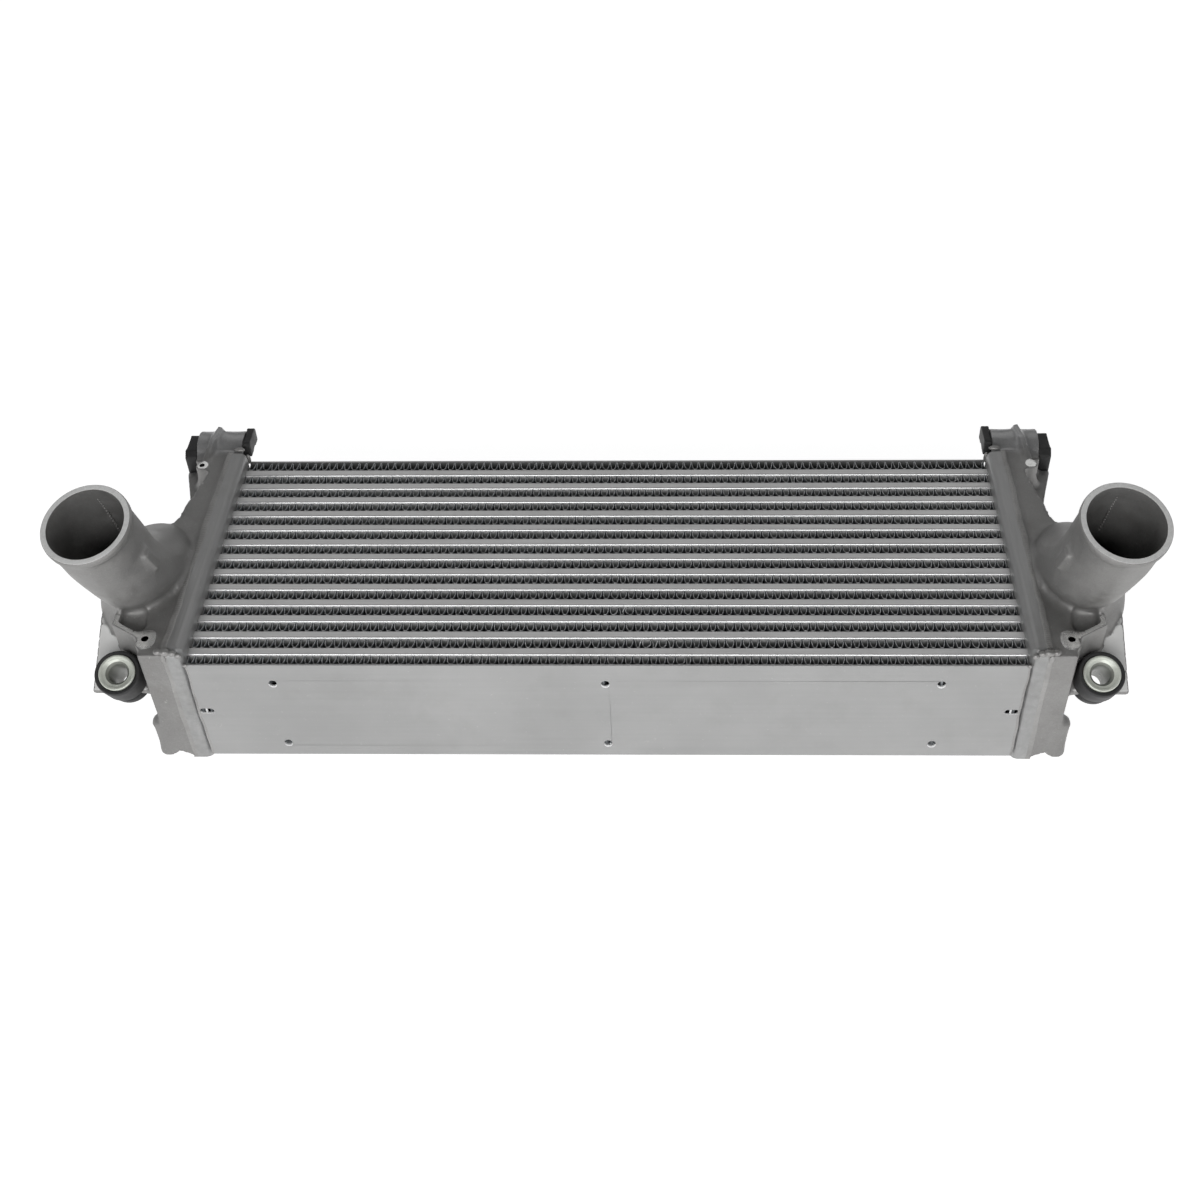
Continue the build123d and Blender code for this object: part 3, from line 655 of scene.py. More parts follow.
def turned(name, frame_at, profile, material, steps):
    """A piece turned about the Z axis of a frame, from a closed profile of (radius, height)."""
    points = []
    for i in range(steps):
        angle = 2 * math.pi * i / steps
        for radius, height in profile:
            points.append(frame_at @ Vector((radius * math.cos(angle), radius * math.sin(angle), height)))
    piece = mesh_object(name, points, lattice(steps, len(profile), True, True), material)
    shape = bmesh.new()
    shape.from_mesh(piece.data)
    bmesh.ops.recalc_face_normals(shape, faces=shape.faces)
    shape.to_mesh(piece.data)
    shape.free()
    return piece


def rounded_profile(rows, base=0.0, steps=5):
    """A closed profile from rows of radius over the base, height and rounding, all in millimetres."""
    corners = [Vector(((base + radius) * MM, height * MM)) for radius, height, _ in rows]
    out = []
    for i, (here, (_, _, rounding)) in enumerate(zip(corners, rows)):
        if rounding <= 0:
            out.append((here.x, here.y))
            continue
        radius = rounding * MM
        before = (corners[i - 1] - here).normalized()
        after = (corners[(i + 1) % len(corners)] - here).normalized()
        half = before.angle(after) / 2
        start, end = (here + leg * (radius / math.tan(half)) for leg in (before, after))
        centre = here + (before + after).normalized() * (radius / math.sin(half))
        first = math.atan2(start.y - centre.y, start.x - centre.x)
        last = math.atan2(end.y - centre.y, end.x - centre.x)
        turn = (last - first + math.pi) % (2 * math.pi) - math.pi
        for k in range(steps + 1):
            angle = first + turn * k / steps
            out.append((centre.x + radius * math.cos(angle), centre.y + radius * math.sin(angle)))
    return out


def seat(piece, slot, *nodes):
    """Ties a new piece to the cooler and hides the nodes that it stands for."""
    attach(piece, "root")
    if nodes:
        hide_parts(*nodes)


def mount_end(name):
    """A frame at the outer end of a stated bore, Z out along its axis."""
    mount = MOUNTS[name]
    axis = Vector(mount["axis"]).normalized()
    across = Vector((1, 0, 0)) if abs(axis.x) < 0.9 else Vector((0, 1, 0))
    x_dir = (across - axis * across.dot(axis)).normalized()
    y_dir = axis.cross(x_dir)
    origin = Vector(mount["pos_m"]) + axis * (mount["dims"]["length_mm"] * MM / 2)
    return Matrix.Translation(origin) @ Matrix((x_dir, y_dir, axis)).transposed().to_4x4()


# Core


# The tubes' wall
TUBE_WALL = 0.8 * MM


def rounded_box(half_y, half_z, radius, steps=6):
    """A rounded rectangle as points up and over, the same count at any size."""
    out = []
    for sy, sz, start in ((1, 1, 0), (-1, 1, 90), (-1, -1, 180), (1, -1, 270)):
        for k in range(steps + 1):
            angle = math.radians(start + 90 * k / steps)
            out.append((sy * (half_y - radius) + radius * math.cos(angle),
                        sz * (half_z - radius) + radius * math.sin(angle)))
    return out


def make_tube(name, material):
    """One flat tube with rounded long edges, open at its ends."""
    low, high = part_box(name)
    middle = (low + high) / 2
    half = (high - low) / 2
    edge = bpy.context.scene.cooler_sizes.tube_round
    outer = rounded_box(half.y, half.z, edge)
    inner = rounded_box(half.y - TUBE_WALL, half.z - TUBE_WALL, edge - TUBE_WALL / 2)
    rings = [(low.x, inner), (low.x, outer), (high.x, outer), (high.x, inner)]
    points = [(x, middle.y + y, middle.z + z) for x, ring in rings for y, z in ring]
    faces = [(a, d, c, b) for a, b, c, d in lattice(len(rings), len(outer), True, True)]
    piece = mesh_object("tube_" + name[-2:], points, faces, material)
    even_shading(piece)
    seat(piece, "tube_aluminium", name)


def finish_tubes():
    """Flat tubes with rounded long edges, and the strips hidden in them."""
    colours = bpy.context.scene.cooler_colours
    tube = tube_finish("tube aluminium", colours.tube)
    strip = fin_finish("strip aluminium", colours.fin)
    for name in list(frame["nodes"]):
        if name.startswith("charge_tube"):
            make_tube(name, tube)
        if name.startswith("turbulator"):
            dress_node(name, strip)


# Fins bent near the core's face, most of them as in the photograph: across, row from the bottom, reach
BENT_FINS = (
    (24.0, 1, 7.0), (31.0, 1, 5.0), (42.0, 1, 4.0), (9.0, 3, 7.0), (13.0, 3, 4.0), (52.0, 0, 4.0),
    (120.0, 12, 8.0), (136.0, 12, 5.0), (255.0, 12, 5.0), (170.0, 3, 5.0), (268.0, 5, 5.0),
)
# How far a bent fin goes sideways, and the depth under the face at which it is straight again
BEND_SIDEWAYS = 1.6 * MM
BEND_DEPTH = 5.0 * MM

# Half widths of the crests, in shares of the pitch, and how far the walls bow out
NEAR_CREST = 0.18
FAR_CREST = 0.11
WALL_BOW = 0.07
# Where the first crest stands, in shares of the pitch, and the steps round a crest
FIRST_CREST = 0.3
CREST_STEPS = 4
# Depths under the core's face at which the folds change their sideways drift
FOLD_DEPTHS = (0.0, 0.9, 3.0, 9.0)
LAYER_DRIFT = 0.28 * MM
LINE_SWAY = 0.25 * MM
# The near crests' lip at the face: how far up a crest it goes, and how far it comes up and out
LIP_REACH = 0.7 * MM
LIP_UP = 0.8 * MM
LIP_OUT = 0.5 * MM


def fold_line(low, high, start, pitch, waves, stray, rng):
    """The end view of a folded strip: points across and up, and whether they lie in a near crest."""
    line = []

    def crest(middle, edge, radius, way):
        for k in range(CREST_STEPS + 1):
            angle = math.pi * k / CREST_STEPS
            up = edge + way * radius * (1 - math.sin(angle))
            line.append((middle - radius * math.cos(angle), up, way > 0))

    def wall(x, y, to_x, to_y, shares, way):
        for share in shares:
            bow = pitch * WALL_BOW * math.sin(math.pi * share)
            line.append((x + (to_x - x) * share + way * bow, y + (to_y - y) * share, False))

    for wave in range(waves):
        centre = start + pitch * wave + rng.uniform(-stray, stray)
        ahead = centre + pitch / 2 + rng.uniform(-stray, stray) * 0.6
        near = pitch * NEAR_CREST * rng.uniform(0.85, 1.1)
        far = pitch * FAR_CREST * rng.uniform(0.85, 1.1)
        crest(centre, low, near, 1)
        wall(centre + near, low + near, ahead - far, high - far, (0.35, 0.7), 1)
        crest(ahead, high, far, -1)
        wall(ahead + far, high - far, centre + pitch - near, low + near, (0.3, 0.65), -1)
    return line


def fin_points(line, low, high, pitch, sway, bends):
    """The points of a folded strip, depth by depth, with its drift, its bends and its lip."""
    sheet = bpy.context.scene.cooler_sizes.fin_sheet
    top = high[2]
    depths = [top - depth * MM for depth in FOLD_DEPTHS] + [low[2]]
    points = []
    for step, z in enumerate(depths):
        drift = math.sin(step * 2.1) * LAYER_DRIFT if 0 < step < len(FOLD_DEPTHS) else 0.0
        share = max(0.0, 1 - (top - z) / BEND_DEPTH)
        for (x, y, crest), own in zip(line, sway):
            middle = 1 - abs((y - low[1]) / (high[1] - low[1]) * 2 - 1)
            shift = drift + own * LINE_SWAY * share * middle
            for at, reach in bends:
                close = max(0.0, 1 - abs(x - at) / reach)
                shift += close * share * middle * BEND_SIDEWAYS * (1 if int(x / pitch) % 2 else -0.8)
            x = min(max(x + shift, low[0] + sheet), high[0] - sheet)
            lip = crest and step == 0 and y < low[1] + LIP_REACH
            points.append((x, y - LIP_OUT, z + LIP_UP) if lip else (x, y, z))
    return points, len(depths)


def make_fin(name, row):
    """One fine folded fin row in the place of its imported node."""
    sizes = bpy.context.scene.cooler_sizes
    low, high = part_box(name)
    rng = random.Random(row * 17 + 5)
    waves = int((high[0] - low[0]) / sizes.fin_pitch)
    pitch = (high[0] - low[0]) / waves
    sheet = sizes.fin_sheet
    line = fold_line(low[1] + sheet / 2, high[1] - sheet / 2, low[0] + pitch * FIRST_CREST, pitch, waves,
                     sizes.fin_stray, rng)
    near, far = low[1] + sheet, high[1] - sheet
    line = [(low[0], far, False), (low[0], near, False), *line]
    line += [(high[0], near, False), (high[0], far, False)]
    sway = [rng.uniform(-0.5, 0.5) for _ in line]
    bends = [(x * MM, reach * MM) for x, at, reach in BENT_FINS if at == row]
    points, levels = fin_points(line, low, high, pitch, sway, bends)
    faces = lattice(levels, len(line))
    # Near crests and bent fins take the lighter crest finish, a painted highlight.
    bright = [0] * len(faces)
    run = 0
    for i, (x, _, crest) in enumerate(line):
        if i < len(line) - 1:
            bent = any(abs(x - at) < reach * 0.8 for at, reach in bends)
            bright[i] = int(bent or (crest and line[i + 1][2]))
        run = run + 1 if crest else 0
        if run > CREST_STEPS:
            faces.append(tuple(range(i - CREST_STEPS, i + 1)))
            bright.append(1)
    piece = mesh_object("folded_" + name, points, faces, bpy.data.materials["fin aluminium with painted shade"])
    piece.data.materials.append(bpy.data.materials["fin crest with painted highlight"])
    piece.data.polygons.foreach_set("material_index", bright)
    skin = piece.modifiers.new("sheet", "SOLIDIFY")
    skin.thickness = sheet
    skin.offset = 0
    # The strip's cut edges take the crest finish too, a painted highlight.
    skin.material_offset_rim = 1
    seat(piece, "fin_aluminium", name)


def make_fins():
    """All the fin rows."""
    # The fins' material carries painted shade in its colour; the crests' material carries a painted
    # highlight.
    fin_finish("fin aluminium with painted shade", bpy.context.scene.cooler_colours.fin)
    crest_finish("fin crest with painted highlight")
    names = sorted(name for name in frame["nodes"] if name.startswith("air_fin"))
    for row, name in enumerate(names):
        make_fin(name, row)


# Burrs of the bottom plate, near white as a painted highlight, in millimetres: the crescent under a hole
# starts at an angle and turns on, and has three edges, each so far from the hole's own and so far proud of
# the plate
BURR_STEPS = 16
BURR_START, BURR_TURN = 188.0, 164.0
BURR_WIDTH = 1.2
BURR_EDGES = ((-0.1, -0.4), (0.05, 0.16), (0.02, 0.02))
# The near-white bar in a slot, a painted highlight: how far left of its middle, how deep in the plate, and
# its half sizes
BAR_LEFT, BAR_DEEP = 0.6, 1.1
BAR_CORNERS = ((-0.7, -3.0), (0.7, -3.0), (0.7, 3.0), (-0.7, 3.0))


def hole_burrs():
    """The burrs under the bottom plate's holes and the bars in its slots, both near white as a painted
    highlight.
    """
    # Near white, almost without metal: painted highlight.
    burr, _, _ = rolled_finish("burr with painted highlight", (0.95, 0.95, 0.95), (300, 300, 300), 0.4, 0.04, metallic=0.1,
                               stain=0.0)
    corners, slots = MOUNTS["side_plate_corners"], MOUNTS["side_plate_slots"]
    dims, level = corners["dims"], corners["pos_m"][2] / MM
    half_x, half_z = dims["spacing_x_mm"] / 2, dims["spacing_y_mm"] / 2
    points, faces = [], []
    for x in (-half_x, 0.0, half_x):
        for z in (level - half_z, level + half_z):
            faces += lattice(BURR_STEPS + 1, len(BURR_EDGES), first=len(points))
            for k in range(BURR_STEPS + 1):
                angle = math.radians(BURR_START + BURR_TURN * k / BURR_STEPS)
                widths = (0.0, 0.0, BURR_WIDTH * math.sin(math.pi * k / BURR_STEPS))
                for wide, (over, proud) in zip(widths, BURR_EDGES):
                    away = dims["hole_r_mm"] + wide + over
                    points.append(spot(x + away * math.cos(angle), -proud, z + away * math.sin(angle)))
    z = slots["pos_m"][2] / MM
    for way in (-1, 1):
        x = way * slots["dims"]["spacing_x_mm"] / 2 - BAR_LEFT
        faces.append(tuple(len(points) + i for i in range(4)))
        points += [spot(x + a, BAR_DEEP, z + b) for a, b in BAR_CORNERS]
    seat(mesh_object("hole_burrs", points, faces, burr), "plate_aluminium")


def finish_plates():
    """Side plates of rolled sheet."""
    sheet = plate_finish("plate aluminium", bpy.context.scene.cooler_colours.plate)
    for name in ("lower_side_plate", "upper_side_plate"):
        dress_node(name, sheet, bpy.context.scene.cooler_sizes.plate_round)
    hole_burrs()


# Rounding of the headers' pressed edges
HEADER_ROUND = 2.2 * MM


def finish_headers():
    """Pressed headers."""
    colour = bpy.context.scene.cooler_colours.plate
    pressed, _, _ = rolled_finish("header aluminium", colour, (200, 14, 200), 0.46, 0.13, metallic=0.5,
                                  stain=0.3)
    for side in SIDES:
        dress_node(f"header_{side}", pressed, HEADER_ROUND, 4)


# Welds


# How much the header's corners are cut, and the stations on either side that a weld's way is evened over
CORNER_CUT = 4.5 * MM
EVENED = 5


def weld_path(side):
    """Stations round the joint between header and tank: point and outward way."""
    low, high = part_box(f"header_{side}")
    x = high[0] if side == "right" else low[0]
    y0, y1, z0, z1 = low[1], high[1], low[2], high[2]
    cut = CORNER_CUT
    corners = [(y0, z0 + cut), (y0, z1 - cut), (y0 + cut, z1), (y1 - cut, z1),
               (y1, z1 - cut), (y1, z0 + cut), (y1 - cut, z0), (y0 + cut, z0)]
    corners = [Vector((x, *corner)) for corner in corners]
    step = bpy.context.scene.cooler_sizes.weld_ripple / 5
    stations = []
    for start, end in zip(corners, corners[1:] + corners[:1]):
        ahead = end - start
        out = Vector((0, -ahead.z, ahead.y)).normalized()
        count = max(3, int(ahead.length / step))
        stations += [(start + ahead * (k / count), out) for k in range(count)]
    evened = []
    for i, (point, _) in enumerate(stations):
        near = [stations[(i + k) % len(stations)][1] for k in range(-EVENED, EVENED + 1)]
        evened.append((point, sum(near, Vector()).normalized()))
    return evened


# Points across a bead, how far its edges sink in, and what is left of its height on the near face
BEAD_POINTS = 9
BEAD_SINK = 0.25 * MM
NEAR_HEIGHT = 0.2
# Two waves that a bead's line wanders by: how far, and turns in radians for each metre
WANDER = ((0.35 * MM, 97), (0.2 * MM, 263))


def bead(name, stations, width, height, metal, rng, closed=True):
    """A rippled bead along stations of point and outward way; a closed one is flatter on the near face."""
    ripple = bpy.context.scene.cooler_sizes.weld_ripple
    points = []
    run = 0.0
    for i, (point, out) in enumerate(stations):
        run += (point - stations[i - 1][0]).length if i else 0
        phase = (run / ripple) % 1.0
        wander = sum(size * math.sin(run * rate) for size, rate in WANDER)
        wide = width * (0.9 + 0.12 * math.sin(run * 61) + rng.uniform(-0.03, 0.03))
        high = height * (0.55 + 0.45 * math.sin(math.pi * phase) + 0.1 * math.sin(run * 43))
        if closed and (out.z < -0.5 or out.y < -0.7):
            high *= NEAR_HEIGHT
        if not closed and i in (0, len(stations) - 1):
            high = 0.0
        for j in range(BEAD_POINTS):
            u = j / (BEAD_POINTS - 1) * 2 - 1
            lift = high * math.sqrt(max(0.0, 1 - u * u)) - BEAD_SINK
            points.append(point + out * lift + AXES[0] * (u * wide / 2 + wander))
    faces = lattice(len(stations), BEAD_POINTS, wrap_rows=closed)
    seat(mesh_object(name, points, faces, metal), "plate_aluminium")


def lumps(name, places, material, slot):
    """Small uneven lumps of metal at points with three radii each."""
    shape = bmesh.new()
    rng = random.Random(len(places))
    for centre, radii in places:
        made = bmesh.ops.create_icosphere(shape, subdivisions=3, radius=1.0)
        for vert in made["verts"]:
            gain = 1 + 0.05 * math.sin(vert.co.x * 3 + centre.x * 900) + rng.uniform(-0.006, 0.006)
            vert.co = centre + Vector(c * r * gain for c, r in zip(vert.co, radii))
    mesh = bpy.data.meshes.new(name)
    shape.to_mesh(mesh)
    shape.free()
    mesh.polygons.foreach_set("use_smooth", [True] * len(mesh.polygons))
    mesh.materials.append(material)
    seat(new_object(name, mesh), slot)


# Lumps at the weld's near and far end: middle and radii, in millimetres on the right side
WELD_LUMPS = (
    ((295.8, 1.5, 109.2), (2.9, 2.4, 2.2)), ((291.0, 1.0, 109.4), (3.7, 2.8, 2.7)),
    ((286.4, 0.7, 108.6), (2.9, 2.2, 2.3)), ((282.4, 0.3, 106.4), (2.4, 1.7, 2.2)),
    ((279.6, -0.3, 97.8), (1.6, 0.9, 1.4)), ((293.0, -0.1, 104.0), (1.9, 0.9, 3.4)),
    ((286.0, 216.6, 109.6), (4.2, 2.0, 1.9)), ((280.6, 216.2, 101.0), (1.9, 1.6, 4.5)),
)
WELD_SEEDS = {"right": 11, "left": 12}
# The braze at a plate's end: its stations, where it starts, how much shorter than the plate's height
# it is, how far it lies past the header's edge and over its face, and its size
BRAZE_STATIONS = 160
BRAZE_START, BRAZE_SHORT = 8 * MM, 9 * MM
BRAZE_PAST, BRAZE_OVER = 0.3 * MM, 0.1 * MM
BRAZE_WIDTH, BRAZE_HEIGHT = 2.1 * MM, 0.7 * MM


def make_welds():
    """The rippled weld between each header and its tank, the braze at the plate's ends, and the lumps."""
    sizes, colour = bpy.context.scene.cooler_sizes, bpy.context.scene.cooler_colours.cast
    metal = cast_finish("weld metal", [part * 1.2 for part in colour], 0.4, 0.2, 0.25)
    for side, way in SIDES.items():
        rng = random.Random(WELD_SEEDS[side])
        bead(f"tank_weld_{side}", weld_path(side), sizes.weld_width, sizes.weld_height, metal, rng)
        low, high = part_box(f"header_{side}")
        x = (low[0] if side == "right" else high[0]) - way * BRAZE_PAST
        stations = []
        for k in range(BRAZE_STATIONS):
            share = k / (BRAZE_STATIONS - 1)
            z = low[2] + BRAZE_START + (CORE_FACE - low[2] - BRAZE_SHORT) * share
            stations.append((Vector((x, low[1] + BRAZE_OVER, z)), -AXES[1]))
        bead(f"plate_braze_{side}", stations, BRAZE_WIDTH, BRAZE_HEIGHT, metal, rng, closed=False)
        places = [(spot(x * way, y, z), [r * MM for r in radii]) for (x, y, z), radii in WELD_LUMPS]
        lumps(f"weld_ends_{side}", places, metal, "plate_aluminium")


# Castings

# Level ovals of the right elbow from the lowest up: middle, half width and half length
ELBOW_LEVELS = (
    ((305.0, 86.0, 26.0), 8.0, 32.0),
    ((326.5, 86.0, 60.0), 25.0, 45.0),
    ((327.5, 86.0, 86.0), 31.5, 49.0),
    ((326.0, 90.0, 106.5), 30.0, 45.0),
)
# The spigot's wall, the length of its straight barrel, and the bend under it: how far back along the
# spigot's axis, how far across and its radius
SPIGOT_WALL = 2.6 * MM
BARREL_LENGTH = 30.0 * MM
BEND_REACH = 64.0 * MM
BEND_SHIFT = -4.0 * MM
BEND_RADIUS = 27.2 * MM
# Inside of the tank's channel: its end wall at three places up the part, and its floor and roof
CHANNEL_UP = (3.5, 133.0, 213.7)
CHANNEL_WALL = (306.5, 314.5, 297.0)
CHANNEL_FLOOR = 9.5
CHANNEL_SLOPE = math.tan(math.radians(24.0))
CHANNEL_ROOF = 103.0
CHANNEL_IN_HEADER = 6.0
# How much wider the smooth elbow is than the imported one, and how far it stops short of the mouth
ELBOW_SPARE = 0.15 * MM
ELBOW_SHORT = 4.0 * MM


def mouth_frame():
    """The right spigot's mouth, Z out along the spigot."""
    mount = MOUNTS["hose_spigot_right"]
    axis = Vector(mount["axis"]).normalized()
    if axis.z < 0:
        axis = -axis
    x_dir = Vector((1, 0, -axis.x / axis.z)).normalized()
    centre = Vector(mount["pos_m"]) + axis * mount["dims"]["length_mm"] * MM / 2
    return centre, x_dir, axis.cross(x_dir), axis, mount["dims"]["r_mm"] * MM


def eased(before, start, end, after, share):
    """A point between start and end on the smooth curve through all four."""
    first = (end - before) * share
    second = (before * 2 - start * 5 + end * 4 - after) * share**2
    third = (start * 3 - before - end * 3 + after) * share**3
    return start + (first + second + third) * 0.5


def elbow_skin(inset, past, sides=96, steps=9):
    """The smooth closed form of the elbow, from its keel to past the mouth."""
    centre, x_dir, y_dir, axis, bore = mouth_frame()
    radius = bore + SPIGOT_WALL - inset
    turns = [(math.cos(2 * math.pi * i / sides), math.sin(2 * math.pi * i / sides)) for i in range(sides)]

    def oval(middle, across, up, wide, long):
        return [np.array(middle + across * (wide * c) + up * (long * d)) for c, d in turns]

    keys = []
    for middle, wide, long in ELBOW_LEVELS:
        keys.append(oval(spot(*middle), AXES[0], AXES[1], wide * MM - inset, long * MM - inset))
    bend = centre - axis * BEND_REACH + Vector((BEND_SHIFT, 0, 0))
    keys.append(oval(bend, x_dir, y_dir, BEND_RADIUS - inset, BEND_RADIUS - inset))
    keys.append(oval(centre - axis * BARREL_LENGTH, x_dir, y_dir, radius, radius))
    keys.append(oval(centre, x_dir, y_dir, radius, radius))
    keys.insert(0, [low * 2 - high for low, high in zip(keys[0], keys[1])])
    rings = []
    for four in zip(keys, keys[1:], keys[2:], keys[3:]):
        for step in range(steps):
            rings.append([eased(*corners, step / steps) for corners in zip(*four)])
    rings.append(keys[-2])
    rings.append(oval(centre + axis * past, x_dir, y_dir, radius, radius))
    points = [point for ring in rings for point in ring]
    points += [sum(rings[0]) / sides, sum(rings[-1]) / sides]
    quads, triangles = lattice(len(rings), sides, wrap_columns=True), []
    last = (len(rings) - 1) * sides
    for i in range(sides):
        j = (i + 1) % sides
        triangles.append((len(points) - 2, j, i))
        triangles.append((len(points) - 1, last + i, last + j))
    return np.array(points), np.array(triangles, dtype=np.uint32), np.array(quads, dtype=np.uint32)


def channel_inside(work):
    """Distances of the space inside the tank's channel."""
    x, y, z = work.places()
    x, y, z = x / MM, (y - PLATE_Y) / MM, z / MM
    wall = np.interp(y, CHANNEL_UP, CHANNEL_WALL)
    inside = np.maximum(x - wall, HEADER_HIGH[0] / MM - CHANNEL_IN_HEADER - x)
    inside = np.maximum(inside, np.maximum(CHANNEL_UP[0] - y, y - CHANNEL_UP[2]))
    floor = CHANNEL_FLOOR + (x - HEADER_HIGH[0] / MM) * CHANNEL_SLOPE
    inside = np.maximum(inside, np.maximum(floor - z, z - CHANNEL_ROOF))
    return inside * MM


def grid_round(name, margin, grid, band):
    """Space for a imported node's distances with a margin round it, and the node's own distances."""
    low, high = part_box(name)
    reach = Vector((margin, margin, margin))
    work = SolidGrid(low - reach, high + reach, grid, band)
    return work, work.solid(*node_triangles(name))


def casting_surface(grid, fillet):
    """The right casting with a smooth elbow and its inner corners filled."""
    work, casting = grid_round("tank_right", 5 * MM, grid, fillet / grid + 3)
    outer = work.solid(*elbow_skin(-ELBOW_SPARE, -ELBOW_SHORT))
    inner = work.solid(*elbow_skin(SPIGOT_WALL, ELBOW_SHORT))
    outer = np.maximum(outer, -channel_inside(work))
    casting = np.minimum(casting, outer)
    for block in casting_details(work):
        casting = np.minimum(casting, block)
    casting = np.maximum(casting, -inner)
    return filled_corners(work.field(casting), grid, fillet, 0.25)


def block_distance(work, centre, ways, half):
    """Distances of a small block with its own directions and half sizes in millimetres."""
    x, y, z = work.places()
    distance = None
    for way, reach in zip(ways, half):
        along = (x - centre.x) * way.x + (y - centre.y) * way.y + (z - centre.z) * way.z
        beyond = np.abs(along) - reach * MM
        distance = beyond if distance is None else np.maximum(distance, beyond)
    return distance


# The step across the tank's top: its middle across and up, how far under the header's top, half sizes
STEP_PLACE, STEP_DOWN, STEP_HALF = (303.6, 148.0), 4.1, (8.0, 10.5, 1.3)
# The pad on the elbow's inner side: its middle, how far it is moved along and out, its way out, half sizes
PAD_PLACE, PAD_ALONG, PAD_OUT = (299.7, 43.2, 152.8), 2.5, 0.7
PAD_WAY, PAD_HALF = Vector((-0.965, -0.21, 0.1)).normalized(), (2.6, 8.0, 3.4)
# The slanted pad under the elbow's near side
TROUGH_PLACE, TROUGH_HALF = (321.0, 40.0, 97.5), (11.0, 8.0, 4.0)
TROUGH_WAYS = (AXES[0], Vector((0, 0.866, 0.5)), Vector((0, -0.5, 0.866)))


def casting_details(work):
    """The step across the tank's top, the small pad on the elbow's inner side and the one under it."""
    along = mouth_frame()[3]
    along = (along - PAD_WAY * PAD_WAY.dot(along)).normalized()
    step = spot(*STEP_PLACE, HEADER_HIGH[2] / MM - STEP_DOWN)
    pad = spot(*PAD_PLACE) + along * PAD_ALONG * MM + PAD_WAY * PAD_OUT * MM
    trough = block_distance(work, spot(*TROUGH_PLACE), TROUGH_WAYS, TROUGH_HALF)
    return [block_distance(work, step, AXES, STEP_HALF),
            block_distance(work, pad, (PAD_WAY, along, PAD_WAY.cross(along)), PAD_HALF),
            np.maximum(trough, -channel_inside(work))]


# Profile of a spigot's collar, in millimetres: over the bore's radius, over the mouth, and rounding
COLLAR = (
    (-0.12, 0.12, 0.35), (3.85, 0.12, 0.9), (4.15, -2.2, 1.2), (3.95, -5.2, 1.6),
    (2.75, -7.6, 1.4), (2.25, -10.0, 0), (0.6, -10.0, 0), (0.3, -9.0, 0),
)


def spigot_collar(side, cut, cast):
    """The collar over a spigot's cast end, with its machined mouth."""
    name = f"hose_spigot_{side}"
    at = mount_end(name)
    profile = rounded_profile(COLLAR, MOUNTS[name]["dims"]["r_mm"])
    steps = bpy.context.scene.cooler_sizes.steps_round
    piece = turned(f"spigot_collar_{side}", at, profile, cast, steps)
    piece.data.materials.append(cut)
    axis = (at.to_3x3() @ AXES[2]).normalized()
    for face in piece.data.polygons:
        if face.normal.dot(axis) > 0.8 and (face.center - at.translation).dot(axis) > -0.5 * MM:
            face.material_index = 1
    seat(piece, "cast_aluminium")


# The parting seam inside the right bore, from the mouth inwards, the lumps on each run and their radii
SEAM = ((333.3, 62.2, 199.4), (331.2, 68.6, 177.0), (328.6, 73.3, 152.7))
SEAM_LUMPS = 9
SEAM_RADII = (0.8 * MM, 1.0 * MM, 1.0 * MM)


def mouth_seam(side, way, cast):
    """The dotted casting seam that runs into the bore."""
    places = []
    for start, end in zip(SEAM, SEAM[1:]):
        for k in range(1, SEAM_LUMPS + 1):
            x, y, z = (a + (b - a) * k / SEAM_LUMPS for a, b in zip(start, end))
            places.append((spot(x * way, y, z), SEAM_RADII))
    lumps(f"mouth_seam_{side}", places, cast, "cast_aluminium")


# The radius of a drill's point, which is all but sharp, and the sides of a drill
DRILL_POINT = 0.0001 * MM
DRILL_SIDES = 32


def hole_cutter(name, material):
    """A drill for the casting at a stated hole, which starts over its face and ends in a cone."""
    dims = MOUNTS[name]["dims"]
    radius, depth = dims["r_mm"] * MM, dims["length_mm"] * MM
    profile = [(DRILL_POINT, MM), (radius, MM), (radius, -depth), (DRILL_POINT, -depth - radius * 0.6)]
    return turned("drill", mount_end(name), profile, material, DRILL_SIDES)


def cut_holes(piece, drills):
    """Cuts the drills out of a piece and removes them."""
    for drill in drills:
        cut = piece.modifiers.new("hole", "BOOLEAN")
        cut.operation = "DIFFERENCE"
        cut.solver = "FAST"
        cut.object = drill
    bpy.context.view_layer.update()
    graph = bpy.context.evaluated_depsgraph_get()
    mesh = bpy.data.meshes.new_from_object(piece.evaluated_get(graph))
    uncut = piece.data
    piece.modifiers.clear()
    piece.data = mesh
    bpy.data.meshes.remove(uncut)
    for drill in drills:
        bpy.data.objects.remove(drill)
    mesh.polygons.foreach_set("use_smooth", [True] * len(mesh.polygons))


def make_tanks():
    """Both cast tanks, with soft casting fillets, holes and machined faces."""
    sizes, colours = bpy.context.scene.cooler_sizes, bpy.context.scene.cooler_colours
    cast = cast_finish("cast aluminium", colours.cast, 0.5, cut=colours.machined)
    cut, _, _ = rolled_finish("machined aluminium", colours.machined, (500, 500, 500), 0.4, 0.08,
                              metallic=0.15, stain=0.1)
    grid = sizes.cast_grid * 1.0
    surface = casting_surface(grid, sizes.cast_fillet)
    for side, way in SIDES.items():
        piece = surface_object(f"cast_tank_{side}", surface, cast, way)
        drills = [hole_cutter(f"{kind}_{side}", cast) for kind in ("lug_thread", "screw_boss_thread")]
        cut_holes(piece, drills)
        soften_edges(piece, sizes.cast_round)
        seat(piece, "cast_aluminium", f"tank_{side}")
        spigot_collar(side, cut, cast)
        mouth_seam(side, way, cast)


# Rubber and sleeves

